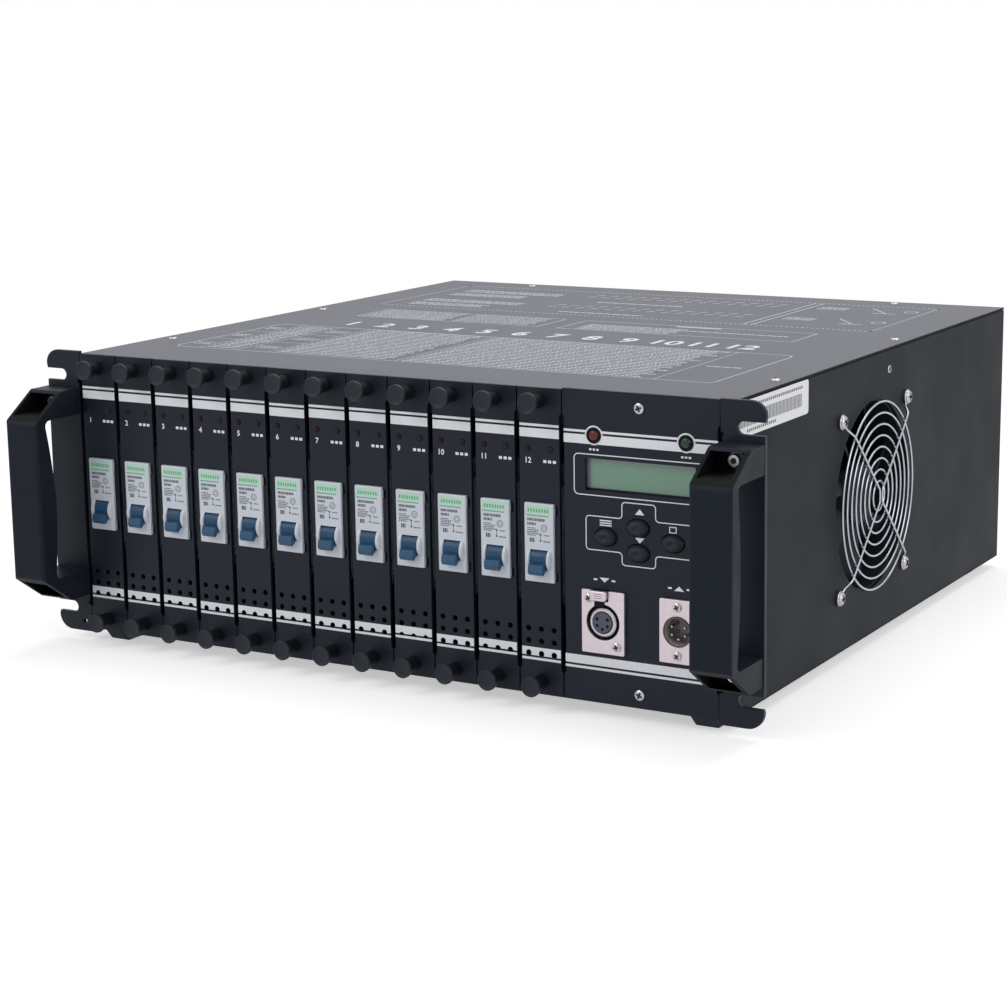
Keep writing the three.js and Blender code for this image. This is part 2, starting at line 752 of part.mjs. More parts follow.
// Five places on a circle of six, the empty one at the top
function pinPlaces() {
  const places = [];
  for (let i = 0; i < pinCount; i += 1) {
    const angle = ((i + 1) / (pinCount + 1) + 1 / 4) * 2 * Math.PI;
    places.push([pinCircleRadius * Math.cos(angle), pinCircleRadius * Math.sin(angle)]);
  }
  return places;
}

function connectorBody(plateWidth) {
  const half = plateWidth / 2;
  const plateZ = [-connectorPlateHeight / 2, connectorPlateHeight / 2];
  const plate = block([-half, half], [connectorFace, -fitGap], plateZ);
  const shell = turned('y', [[0, connectorFront], [connectorShellRadius, connectorFront],
    [connectorShellRadius, connectorFace + bite], [connectorBodyRadius, connectorFace + bite],
    [connectorBodyRadius, connectorBodyDepth], [0, connectorBodyDepth]], roundSides);
  return join(plate, shell);
}

const latchFloor = connectorPlateHeight / 2 - latchHeight;

function outlet() {
  const start = connectorFront - overrun;
  const end = connectorFront + outletBoreDepth;
  const groove = turned('y', [[outletCoreRadius, start], [outletBoreRadius, start], [outletBoreRadius, end],
    [outletCoreRadius, end], [outletCoreRadius, start]], roundSides);
  const notch = block([latchOffset - latchWidth / 2 - fitGap, latchOffset + latchWidth / 2 + fitGap],
    [start, overrun], [latchFloor - fitGap, connectorPlateHeight / 2 + overrun]);
  let body = cut(connectorBody(outletPlateWidth), groove, notch);
  for (const [x, z] of pinPlaces()) {
    body = cut(body, rod('y', pinHoleRadius, [start, connectorFront + pinHoleDepth], tinySides, [x, 0, z]));
  }
  return body;
}

// Latch of the outlet: a tab that stands out of the plate's notch and is pushed in
function latch() {
  return block([latchOffset - latchWidth / 2, latchOffset + latchWidth / 2],
    [connectorFace - latchReach, -fitGap - latchTravel], [latchFloor, connectorPlateHeight / 2]);
}

function inlet() {
  const bottom = connectorFront + inletBoreDepth;
  const bore = rod('y', inletBoreRadius, [connectorFront - overrun, bottom], roundSides);
  let body = cut(connectorBody(inletPlateWidth), bore);
  for (const [x, z] of pinPlaces()) {
    body = join(body, rod('y', pinRadius, [bottom - pinLength, bottom + bite], tinySides, [x, 0, z]));
  }
  return body;
}

// Handle about its own middle, its back against the ear: a bowed grip between two legs, with a
// pocket in the slope of each leg for its socket screw
function handle() {
  const [half, grip, leg] = [handleLength / 2, gripLength / 2, handleLength / 2 - legThickness];
  const inner = gripEndThickness - handleDepth;
  const round = Math.min(handleInnerRadius, leg / 2);
  const side = new THREE.Shape();
  side.moveTo(-fitGap, -half);
  side.lineTo(-legFlat, -half);
  side.lineTo(-handleDepth, -grip);
  side.lineTo(-handleDepth, grip);
  side.lineTo(-legFlat, half);
  side.lineTo(-fitGap, half);
  side.lineTo(-fitGap, leg);
  side.lineTo(inner + round, leg);
  side.absarc(inner + round, leg - round, round, Math.PI / 2, Math.PI);
  side.quadraticCurveTo(inner + 2 * gripBow, 0, inner, round - leg);
  side.absarc(inner + round, round - leg, round, Math.PI, 1.5 * Math.PI);
  side.lineTo(-fitGap, -leg);
  const wide = handleWidth / 2;
  const front = handleFrontRadius;
  const plan = new THREE.Shape();
  plan.moveTo(wide, 0);
  plan.lineTo(wide, front - handleDepth);
  plan.absarc(wide - front, front - handleDepth, front, 0, -Math.PI / 2, true);
  plan.lineTo(front - wide, -handleDepth);
  plan.absarc(front - wide, front - handleDepth, front, -Math.PI / 2, -Math.PI, true);
  plan.lineTo(-wide, 0);
  let body = extruded('x', side, [-wide, wide], handleArcSegments)
    .intersect(extruded('z', plan, [-half - overrun, half + overrun], handleArcSegments));
  const pocketX = [pocketWall - wide, wide - pocketWall];
  const [floor, roof] = [leg + pocketFloor, half - pocketRoof];
  for (const way of [-1, 1]) {
    const z = way * (floor + roof) / 2;
    const pocketY = [-handleDepth - overrun, -pocketBack];
    const pocket = block(pocketX, pocketY, mirrored([floor, roof], way));
    const head = -pocketBack - socketScrewHeight;
    const screw = rod('y', socketScrewRadius, [head, bite - pocketBack], smallSides, [0, 0, z]);
    const hex = rod('y', socketKeyRadius, [head - overrun, head + socketKeyDepth], tinySides, [0, 0, z]);
    body = cut(join(cut(body, pocket), screw), hex);
  }
  return body;
}

// Fan about its own middle on the X axis, its outer face at X zero and its body towards minus X
const hubBase = strutThickness - fanDepth;

function fanHousing() {
  const half = fanSize / 2;
  let body = block([-fanDepth, 0], [-half, half], [-half, half]);
  body = cut(body, rod('x', ductRadius, [-fanDepth - overrun, overrun], fineSides));
  const hub = rod('x', fanHubRadius, [-fanDepth, hubBase], plainSides);
  const [thin, reach] = [strutWidth / 2, ductRadius + bite];
  const across = block([-fanDepth, hubBase], [-reach, reach], [-thin, thin]);
  const upright = block([-fanDepth, hubBase], [-thin, thin], [-reach, reach]);
  const bushRadius = (axleRadius + axleGap) / Math.cos(Math.PI / plainSides);
  const bush = rod('x', bushRadius, [hubBase - axleBite, hubBase + overrun], plainSides);
  return cut(join(body, hub, across, upright), bush);
}

function fanRotor() {
  const back = hubBase + slideGap;
  const front = back + rotorLength;
  let rotor = rod('x', fanHubRadius, [back, front], plainSides);
  const axleSpan = [hubBase - axleBite + axleGap, back + bite];
  rotor = join(rotor, rod('x', axleRadius, axleSpan, plainSides));
  const middle = (back + front) / 2;
  const reach = ductRadius - bladeGap;
  const root = fanHubRadius - bladeThickness;
  for (let i = 0; i < bladeCount; i += 1) {
    const blade = new THREE.BoxGeometry(bladeThickness, bladeDepth / Math.cos(bladePitch), reach - root);
    blade.rotateZ(bladePitch);
    blade.translate(middle, 0, (reach + root) / 2);
    blade.rotateX((i / bladeCount) * 2 * Math.PI);
    rotor = join(rotor, toSolid(blade));
  }
  return rotor;
}

// Wire grille about the fan's axis, the case side at X zero: eight rings, two bent cross wires
// that meet near the middle, and four screws
function fanGrille() {
  let grille = null;
  for (let i = 0; i < grilleRingCount; i += 1) {
    const radius = grilleRingRadius - i * grilleRingPitch;
    const steps = i < grilleRingCount / 2 ? roundSides : plainSides;
    const ring = new THREE.TorusGeometry(radius, wireRadius, wireSides, steps);
    ring.rotateY(Math.PI / 2);
    ring.translate(grilleStand, 0, 0);
    grille = grille ? join(grille, toSolid(ring)) : toSolid(ring);
  }
  const kink = crossReach / Math.SQRT2;
  const corner = fanScrewSpacing / 2;
  const foot = grilleWasherThickness / 2;
  for (const side of [-1, 1]) {
    const apex = [grilleCrossStand, side * crossGap, 0];
    for (const way of [-1, 1]) {
      const bend = [grilleCrossStand, side * kink, way * kink];
      const at = [0, side * corner, way * corner];
      grille = join(grille, bar(apex, bend, wireRadius, wireSides));
      grille = join(grille, bar(bend, [foot, at[1], at[2]], wireRadius, wireSides));
      const washer = rod('x', grilleWasherRadius, [0, grilleWasherThickness], smallSides, at);
      const headHeight = grilleScrewHeight - grilleWasherThickness;
      const head = domedScrew('x', grilleScrewRadius, headHeight, at, grilleWasherThickness);
      grille = join(grille, washer, head);
    }
    grille = join(grille, ball(apex, wireRadius));
  }
  return grille;
}

function ball(centre, radius) {
  const geometry = new THREE.OctahedronGeometry(radius * Math.SQRT2);
  geometry.translate(...centre);
  return toSolid(geometry);
}

// A rubber foot: a square block that narrows towards the floor
function foot() {
  const height = footHeight - fitGap;
  const [top, bottom] = [footTopWidth / Math.SQRT2, footBottomWidth / Math.SQRT2];
  const geometry = new THREE.CylinderGeometry(top, bottom, height, squareSides, 1, false, Math.PI / 4);
  geometry.rotateX(Math.PI / 2);
  geometry.translate(0, 0, height / 2);
  return toSolid(geometry);
}

// Surfaces by material
const surface = (color, roughness, metalness) =>
  new THREE.MeshStandardMaterial({ color, roughness, metalness });
const blackPaint = surface(0x2a2d34, 0.5, 0.3);
const sidePaint = surface(0x33373a, 0.55, 0.3);
const whitePlastic = surface(0xd6dadf, 0.5, 0);
const bluePlastic = surface(0x2f6090, 0.4, 0);
const blackPlastic = surface(0x24272c, 0.6, 0);
const greenBoard = surface(0x2c5a3c, 0.6, 0);
const satinMetal = surface(0xc9bfc2, 0.35, 0.9);
const chromeMetal = surface(0xd8dadc, 0.15, 1);
const darkRubber = surface(0x2b2c2c, 0.85, 0);

const pack = new THREE.Group();

function add(name, solid, material, [x, y, z] = [0, 0, 0]) {
  const mesh = new THREE.Mesh(solid.isBufferGeometry ? solid : toGeometry(solid), material);
  mesh.name = name;
  mesh.position.set(x, y, z);
  pack.add(mesh);
}

add('chassis', chassis(), sidePaint);
add('top_cover', lid(), sidePaint);
add('rear_panel', rearPanel(), sidePaint);
add('output_terminals', outputTerminals(), blackPlastic);
add('case_frame', caseFrame(), blackPaint);
add('backplane', busBoard(), greenBoard);

const handleX = bayHalf + handleInset + handleWidth / 2;
const handleShape = toGeometry(handle());
add('handle_left', handleShape, blackPlastic, [-handleX, 0, plateMiddle]);
add('handle_right', handleShape, blackPlastic, [handleX, 0, plateMiddle]);

const carrierShape = toGeometry(moduleCarrier());
const breakerShape = toGeometry(breaker());
const leverShape = toGeometry(lever());
for (let i = 0; i < channels; i += 1) {
  const label = `module_${String(i + 1).padStart(2, '0')}`;
  add(`${label}_carrier`, carrierShape, blackPaint, [moduleX(i), 0, plateMiddle]);
  add(`${label}_breaker`, breakerShape, whitePlastic, [moduleX(i), 0, plateMiddle]);
  const pivot = [moduleX(i), leverPivotDepth, plateMiddle - leverPivotDrop];
  add(`${label}_lever`, leverShape, bluePlastic, pivot);
}

add('control_panel', controlPanel(), blackPaint, [controlX, 0, plateMiddle]);
add('control_board', controlBoard(), greenBoard, [controlX, 0, plateMiddle]);
const keyShape = toGeometry(key());
for (const [name, [x, z]] of Object.entries(keyPlaces)) {
  add(name, keyShape, blackPlastic, [controlX + x, 0, plateMiddle + z]);
}
const outletAt = [controlX + outletOffset, 0, plateMiddle - connectorDrop];
const inletAt = [controlX + inletOffset, 0, plateMiddle - connectorDrop];
add('dmx_out_socket', outlet(), satinMetal, outletAt);
add('dmx_out_latch', latch(), satinMetal, outletAt);
add('dmx_in_plug', inlet(), satinMetal, inletAt);

add('fan_housing', fanHousing(), blackPlastic, [innerHalf - fitGap, fanDistance, fanZ]);
add('fan_rotor', fanRotor(), blackPlastic, [innerHalf - fitGap, fanDistance, fanZ]);
add('fan_grille', fanGrille(), chromeMetal, [caseHalf + fitGap, fanDistance, fanZ]);

const footShape = toGeometry(foot());
for (const [end, y] of [['front', footFrontSetback], ['rear', caseDepth - footRearSetback]]) {
  for (const [way, side] of [['left', -1], ['right', 1]]) {
    const at = [side * (caseHalf - footSideInset), y, 0];
    add(`foot_${end}_${way}`, footShape, darkRubber, at);
  }
}

// The handles reach furthest forward and the terminals furthest back
pack.position.y = (handleDepth - terminalBack) / 2;

export default pack;
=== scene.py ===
"""Looks of a twelve-channel rack dimmer pack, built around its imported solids."""

import math
import random

import bmesh
import bpy
from mathutils import Matrix, Vector


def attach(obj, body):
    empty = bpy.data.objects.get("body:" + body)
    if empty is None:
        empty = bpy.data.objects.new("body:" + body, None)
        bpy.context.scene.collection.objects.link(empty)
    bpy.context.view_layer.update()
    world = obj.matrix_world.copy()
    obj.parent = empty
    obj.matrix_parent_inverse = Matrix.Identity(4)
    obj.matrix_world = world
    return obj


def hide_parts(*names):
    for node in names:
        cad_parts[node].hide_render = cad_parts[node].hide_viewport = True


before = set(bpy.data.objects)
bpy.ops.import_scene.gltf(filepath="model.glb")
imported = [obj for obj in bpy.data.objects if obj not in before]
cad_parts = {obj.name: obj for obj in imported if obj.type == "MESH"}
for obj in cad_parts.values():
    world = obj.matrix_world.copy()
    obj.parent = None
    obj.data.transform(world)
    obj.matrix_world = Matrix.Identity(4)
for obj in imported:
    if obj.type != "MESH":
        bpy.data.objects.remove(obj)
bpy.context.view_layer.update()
random.seed(12)

# Sizes in millimetres, as in the solids, apart from the camera's two in pixels
MM = 0.001
SENSOR = 36
PICTURE_PIXELS = 1007
FOCAL_PIXELS = 2342.4
FRONT = -210.2
MIDDLE = 95.25
CHANNELS = 12
PITCH = 28.0
BAY_HALF = 215.3
CONTROL_X = 168.0
RACK_HALF = 241.3
INNER_HALF = 218.0
CASE_HALF = 219.5
CASE_FRONT = 3.3
CASE_DEPTH = 448.5
CASE_BOTTOM = 7.2
CASE_TOP = 180.8
SHEET = 1.5
LID_SEAT = CASE_TOP - SHEET
RAIL_TOP = LID_SEAT - 0.3
FRAME_HALF = INNER_HALF - 0.3
PLATE = 2.5
PLATE_HALF = 86.4
RELIEF = 1.15
SCREW_RISE = 79.1
FAN_Y = 208.5
FAN_Z = 94.0
WIRE = 0.72
FAN_SCREW = 52.5
EYELET_Y, EYELET_Z = 233, 167.3
INK = 0.04
SPECK_PITCH = 9.0
DISPLAY_HALF, DISPLAY_TOP = 34.0, 50.4
SOCKET_FRONT = 332.9
MODULE_X = [(i + 0.5) * PITCH - BAY_HALF for i in range(CHANNELS)]

# Faces below this area are shaded smooth; a round shape is smooth all over. Corners this close are one.
FLAT_AREA = 3.0
ROUND = 1e9
WELD = 0.0005

# Ways to lay a shape drawn in its own plane: its depth points out of the named side
FRONTAL = Matrix(((1, 0, 0, 0), (0, 0, -1, 0), (0, 1, 0, 0), (0, 0, 0, 1)))
REARWARD = Matrix(((-1, 0, 0, 0), (0, 0, 1, 0), (0, 1, 0, 0), (0, 0, 0, 1)))
RIGHTWARD = Matrix(((0, 0, 1, 0), (1, 0, 0, 0), (0, 1, 0, 0), (0, 0, 0, 1)))
LEFTWARD = Matrix(((0, 0, -1, 0), (-1, 0, 0, 0), (0, 1, 0, 0), (0, 0, 0, 1)))
UPWARD = Matrix.Identity(4)
DOWNWARD = Matrix(((1, 0, 0, 0), (0, -1, 0, 0), (0, 0, -1, 0), (0, 0, 0, 1)))


def at(x, y, z, turn=UPWARD):
    """A place in millimetres, with the turn that lays a shape there."""
    return Matrix.Translation((x, y, z)) @ turn


def spun(turn):
    """A turn about the depth axis."""
    return Matrix.Rotation(turn, 4, "Z")


def tuned(thing, **settings):
    """The thing, with these attributes set in turn."""
    for name, value in settings.items():
        setattr(thing, name, value)
    return thing


def new_object(name, data):
    made = bpy.data.objects.new(name, data)
    bpy.context.scene.collection.objects.link(made)
    return made


# Camera at the photograph's place and angle
def add_camera():
    lens = FOCAL_PIXELS / PICTURE_PIXELS * SENSOR
    data = tuned(bpy.data.cameras.new("camera"), sensor_width=SENSOR, lens=lens, clip_end=50)
    camera = new_object("camera", data)
    place = Matrix.Translation((0.72364, -1.30823, 0.37705))
    for degrees, axis in ((30.237, "Z"), (90 - 11.644, "X"), (-0.841, "Z")):
        place = place @ Matrix.Rotation(math.radians(degrees), 4, axis)
    camera.matrix_world = place
    bpy.context.scene.camera = camera


add_camera()


# Materials
def linear(rgb):
    """Display values 0 to 255 as linear light."""
    return tuple((v / 255 / 12.92) if v <= 10 else ((v / 255 + 0.055) / 1.055) ** 2.4 for v in rgb) + (1.0,)


def feed(tree, socket, value):
    """Sets a socket to a value, or joins it to another node's output."""
    if isinstance(value, bpy.types.NodeSocket):
        tree.links.new(value, socket)
    else:
        socket.default_value = value


def node(tree, kind, sockets=None, **settings):
    made = tuned(tree.nodes.new("ShaderNode" + kind), **settings)
    for name, value in (sockets or {}).items():
        feed(tree, made.inputs[name], value)
    return made.outputs


def mixed(tree, factor, first, second):
    """A colour between two."""
    return node(tree, "Mix", {0: factor, 6: first, 7: second}, data_type="RGBA")[2]


def ramp(tree, value, low, high, bottom=0.0, top=1.0, kind="LINEAR"):
    sockets = {"Value": value, "From Min": low, "From Max": high, "To Min": bottom, "To Max": top}
    return node(tree, "MapRange", sockets, interpolation_type=kind)["Result"]


def new_material(name):
    made = bpy.data.materials.new(name)
    made.use_nodes = True
    return made, made.node_tree, made.node_tree.nodes["Principled BSDF"]


def material(name, rgb, rough, mottle, mottle_mm, grain_mm, grain, metallic=0.0, specular=0.5, coat=0.0,
             rough_spread=0.08, stretch=1, speck=None):
    """A surface with soft colour variation, a fine bump and uneven gloss, all in object space."""
    made, tree, shader = new_material(name)
    place = node(tree, "TexCoord")["Object"]
    laid = node(tree, "Mapping", {"Vector": place, "Scale": (1, 1, stretch)})["Vector"]
    broad = node(tree, "TexNoise", {"Vector": laid, "Scale": 1000 / mottle_mm, "Detail": 5})["Fac"]
    fine = node(tree, "TexNoise", {"Vector": laid, "Scale": 1000 / grain_mm, "Detail": 3})["Fac"]
    dark, pale = [tuple(min(1.0, v * (1 + way * mottle)) for v in linear(rgb)[:3]) + (1.0,)
                  for way in (-1, 1)]
    colour = mixed(tree, broad, dark, pale)
    if speck:
        spots = node(tree, "TexVoronoi", {"Vector": place, "Scale": 1000 / SPECK_PITCH})["Distance"]
        colour = mixed(tree, ramp(tree, spots, 0.03, 0.0), colour, linear(speck))
    gloss = ramp(tree, broad, 0.25, 0.75, max(0.03, rough - rough_spread), min(1.0, rough + rough_spread))
    bump = node(tree, "Bump", {"Height": fine, "Strength": grain, "Distance": grain_mm * MM * 0.3})["Normal"]
    sockets = {"Base Color": colour, "Roughness": gloss, "Normal": bump, "Metallic": metallic,
               "Specular IOR Level": specular, "Coat Weight": coat, "Coat Roughness": 0.12}
    for socket, value in sockets.items():
        feed(tree, shader.inputs[socket], value)
    return made


# Surfaces: colour, roughness, depth and size of the mottling, size and depth of the grain, other traits
SURFACES = {
    "front_paint": ((24, 30, 42), 0.42, 0.12, 40, 0.5, 0.12, dict(speck=(70, 74, 84), specular=0.2)),
    "case_paint": ((35, 40, 45), 0.5, 0.1, 60, 0.45, 0.3, dict(specular=0.07)),
    # The case paint made lighter and bluer for the lid: painted sheen of the light its top catches.
    "lid_paint_painted_sheen": ((47, 53, 69), 0.42, 0.05, 60, 0.45, 0.25, dict(rough_spread=0.012)),
    "handle_paint": ((30, 36, 45), 0.45, 0.14, 18, 0.6, 0.35, dict(specular=0.08)),
    # Near-black: painted shade in the handles' pockets and along the lid's side edges.
    "pocket_and_edge_shade": ((10, 13, 16), 0.6, 0.2, 6, 0.6, 0.3, dict(specular=0.1)),
    "knob_plastic": ((27, 33, 42), 0.45, 0.12, 4, 0.3, 0.2, dict(specular=0.25)),
    # Dark plastic of the panel lamps' holders, and painted shade on the thumb screws' necks and under the
    # outlet's latch.
    "dark_plastic_and_shade": ((14, 17, 22), 0.6, 0.15, 3, 0.3, 0.2, dict(specular=0.12)),
    "black_plastic": ((29, 34, 43), 0.48, 0.1, 8, 0.4, 0.15, dict(specular=0.25)),
    "key_rubber": ((26, 31, 40), 0.5, 0.12, 5, 0.3, 0.2, dict(specular=0.25)),
    "print_white": ((240, 242, 248), 0.55, 0.05, 3, 0.25, 0.25),
    "print_grey": ((216, 219, 230), 0.6, 0.12, 1.5, 0.25, 0.2),
    "label_paper": ((252, 253, 255), 0.6, 0.04, 8, 0.3, 0.2, dict(specular=0.2)),
    "label_grey": ((112, 116, 130), 0.6, 0.15, 1, 0.25, 0.1),
    "moulded_white": ((216, 222, 232), 0.35, 0.03, 12, 0.4, 0.08),
    "moulded_blue": ((42, 84, 118), 0.34, 0.12, 6, 0.4, 0.1, dict(specular=0.35)),
    "band_green": ((192, 226, 208), 0.45, 0.08, 3, 0.3, 0.1),
    "line_green": ((92, 186, 126), 0.45, 0.08, 2, 0.3, 0.1),
    "print_dark": ((72, 80, 90), 0.6, 0.15, 1, 0.2, 0.1),
    # Near-black for painted shade: behind the breakers' notches, in the outlet's opening and in strips on the
    # control board's aluminium block.
    "gap_shade": ((10, 12, 16), 0.7, 0.2, 2, 0.3, 0.1, dict(specular=0.1)),
    "lens_red": ((92, 8, 16), 0.2, 0.3, 1.5, 0.3, 0.05, dict(coat=0.25, specular=0.3)),
    "lens_green": ((14, 50, 38), 0.2, 0.3, 1.5, 0.3, 0.05, dict(coat=0.25, specular=0.3)),
    "lamp_red": ((52, 15, 23), 0.4, 0.2, 1.5, 0.3, 0.05, dict(specular=0.12)),
    "lamp_green": ((16, 44, 38), 0.4, 0.2, 1.5, 0.3, 0.05, dict(specular=0.12)),
    "nickel": ((206, 194, 200), 0.42, 0.16, 2.5, 0.4, 0.7, dict(metallic=0.85)),
    "bright_steel": ((180, 177, 181), 0.25, 0.1, 2, 0.2, 0.1, dict(metallic=1.0)),
    "dark_steel": ((96, 92, 92), 0.35, 0.15, 2, 0.3, 0.1, dict(metallic=1.0)),
    "chrome_wire": ((176, 180, 188), 0.16, 0.06, 6, 0.5, 0.04, dict(metallic=1.0)),
    "insert_grey": ((86, 90, 106), 0.5, 0.08, 4, 0.3, 0.15, dict(specular=0.3)),
    # The inlet's brownish cup, and the screws' recess floors, where it is painted shade.
    "cup_brown_and_recess_shade": ((58, 50, 50), 0.5, 0.15, 3, 0.3, 0.15, dict(specular=0.3)),
    # The cup's colour made much lighter inside the cup: painted light against the shade there.
    "cup_inside_painted_light": ((168, 158, 158), 0.6, 0.12, 3, 0.3, 0.15, dict(specular=0.2)),
    "brass": ((196, 164, 96), 0.35, 0.12, 2, 0.3, 0.15, dict(metallic=1.0)),
    "aluminium": ((178, 182, 186), 0.38, 0.06, 10, 0.6, 0.2, dict(metallic=0.9, stretch=0.06)),
    "copper_wire": ((150, 84, 44), 0.3, 0.2, 2, 0.7, 0.5, dict(metallic=0.7)),
    "board_green": ((34, 92, 56), 0.38, 0.2, 4, 1.2, 0.3),
    "socket_beige": ((196, 188, 168), 0.5, 0.05, 6, 0.4, 0.1),
    "film_yellow": ((196, 152, 60), 0.4, 0.06, 5, 0.5, 0.1),
    "foot_rubber": ((62, 69, 82), 0.7, 0.15, 4, 0.5, 0.4, dict(specular=0.25)),
}
MATERIALS = {}
for name, row in SURFACES.items():
    traits = row[6] if len(row) > 6 else {}
    MATERIALS[name] = material(name, *row[:6], **traits)


def colour_and_place(made):
    """The node tree, the colour's socket, what feeds it, and the place's coordinates."""
    tree = made.node_tree
    socket = tree.nodes["Principled BSDF"].inputs["Base Color"]
    split = node(tree, "SeparateXYZ", {"Vector": node(tree, "TexCoord")["Object"]})
    return tree, socket, socket.links[0].from_socket, split


def display_material():
    """The unlit display: green glass that pales towards its left and top edges."""
    made = material("display_glass", (112, 152, 130), 0.22, 0.06, 22, 0.6, 0.02, coat=0.4)
    tree, socket, colour, split = colour_and_place(made)
    for axis, edge, inside in (("X", CONTROL_X - DISPLAY_HALF, 6.5), ("Z", MIDDLE + DISPLAY_TOP, -4.2)):
        fade = ramp(tree, split[axis], (edge + inside) * MM, edge * MM, kind="SMOOTHSTEP")
        colour = mixed(tree, fade, colour, linear((146, 152, 158)))
    feed(tree, socket, colour)
    return made


MATERIALS["display_glass"] = display_material()


# Shapes in millimetres
def new_mesh(verts, faces, name="shape"):
    mesh = bpy.data.meshes.new(name)
    mesh.from_pydata(verts, [], faces)
    return mesh


def placed(mesh, place):
    mesh.transform(place)
    return mesh


def span(side, a, b):
    """Two distances from the middle, on one side, the lower value first."""
    return sorted((side * a, side * b))


def circle(x, y, radius, steps=32, start=0.0, sweep=2 * math.pi):
    ends = 0 if sweep >= 2 * math.pi - 1e-6 else 1
    turns = [start + sweep * i / steps for i in range(steps + ends)]
    return [(x + radius * math.cos(t), y + radius * math.sin(t)) for t in turns]


def rounded(points, radii, steps=5):
    """A closed outline with its corners rounded, by one radius or one each."""
    if not isinstance(radii, (list, tuple)):
        radii = [radii] * len(points)
    out = []
    for i, corner in enumerate(points):
        here = Vector(corner)
        before = Vector(points[i - 1]) - here
        after = Vector(points[(i + 1) % len(points)]) - here
        radius = radii[i]
        if radius <= 0:
            out.append(tuple(here))
            continue
        half = before.angle(after) / 2
        reach = min(radius / math.tan(half), before.length * 0.49, after.length * 0.49)
        radius = reach * math.tan(half)
        a, b = before.normalized(), after.normalized()
        centre = here + (a + b).normalized() * (radius / math.sin(half))
        start = here + a * reach - centre
        end = here + b * reach - centre
        angle = start.angle(end)
        side = 1 if start.x * end.y - start.y * end.x > 0 else -1
        for k in range(steps + 1):
            t = side * angle * k / steps
            c, s = math.cos(t), math.sin(t)
            out.append((centre.x + start.x * c - start.y * s, centre.y + start.x * s + start.y * c))
    return out


def rectangle(x0, x1, y0, y1, radius=0.0, steps=5):
    corners = [(x0, y0), (x1, y0), (x1, y1), (x0, y1)]
    return rounded(corners, radius, steps) if radius else corners


def evaluated(obj):
    """The object's mesh with its modifiers applied. The object is removed."""
    bpy.context.scene.collection.objects.link(obj)
    bpy.context.view_layer.update()
    graph = bpy.context.evaluated_depsgraph_get()
    mesh = bpy.data.meshes.new_from_object(obj.evaluated_get(graph))
    bpy.data.objects.remove(obj)
    return mesh


def settle(mesh, flat_area=FLAT_AREA, sharp=40.0):
    """Welds a mesh, turns its faces outwards, and shades faces below an area smooth and the others flat."""
    bm = bmesh.new()
    bm.from_mesh(mesh)
    bmesh.ops.remove_doubles(bm, verts=bm.verts, dist=WELD)
    bmesh.ops.recalc_face_normals(bm, faces=bm.faces)
    for face in bm.faces:
        face.smooth = face.calc_area() < flat_area
    for edge in bm.edges:
        edge.smooth = len(edge.link_faces) == 2 and edge.calc_face_angle(0) < math.radians(sharp)
    bm.to_mesh(mesh)
    bm.free()
    return mesh


def prism(outline, holes=(), depth=1.0, bevel=0.0, flat_area=FLAT_AREA, steps=2):
    """A plate of this outline, its back at zero and its front at depth, with rounded edges."""
    curve = tuned(bpy.data.curves.new("outline", "CURVE"), dimensions="2D", fill_mode="BOTH",
                  extrude=max(0.0, depth / 2 - bevel), bevel_depth=bevel, bevel_resolution=steps,
                  offset=-bevel)
    for loop in [outline, *holes]:
        spline = curve.splines.new("POLY")
        spline.points.add(len(loop) - 1)
        for point, (x, y) in zip(spline.points, loop):
            point.co = (x, y, 0, 1)
        spline.use_cyclic_u = True
    mesh = evaluated(bpy.data.objects.new("outline", curve))
    return settle(placed(mesh, at(0, 0, depth / 2)), flat_area)


def lathe(profile, steps=40, sharp=40.0, ripple=0.0):
    """Turns (radius, height) points about the depth axis. Ripple knurls every other step."""
    verts, rings = [], []
    for radius, height in profile:
        if radius < 1e-6:
            rings.append([len(verts)])
            verts.append((0, 0, height))
            continue
        ring = []
        for k in range(steps):
            t = 2 * math.pi * k / steps
            r = radius * (1 - ripple * (k % 2))
            ring.append(len(verts))
            verts.append((r * math.cos(t), r * math.sin(t), height))
        rings.append(ring)
    faces = []
    for low, high in zip(rings, rings[1:]):
        for k in range(steps):
            n = (k + 1) % steps
            quad = [low[k % len(low)], low[n % len(low)], high[n % len(high)], high[k % len(high)]]
            face = [v for i, v in enumerate(quad) if v != quad[i - 1]]
            if len(face) > 2:
                faces.append(face)
    return settle(new_mesh(verts, faces), ROUND, sharp)


def box(x0, x1, y0, y1, z0, z1, bevel, segments=2):
    bm = bmesh.new()
    bmesh.ops.create_cube(bm, size=1)
    size = Matrix.Diagonal((x1 - x0, y1 - y0, z1 - z0, 1))
    bm.transform(Matrix.Translation(((x0 + x1) / 2, (y0 + y1) / 2, (z0 + z1) / 2)) @ size)
    if bevel:
        bmesh.ops.bevel(bm, geom=bm.edges[:], offset=bevel, segments=segments, profile=0.5, affect="EDGES")
    mesh = bpy.data.meshes.new("box")
    bm.to_mesh(mesh)
    bm.free()
    return settle(mesh)


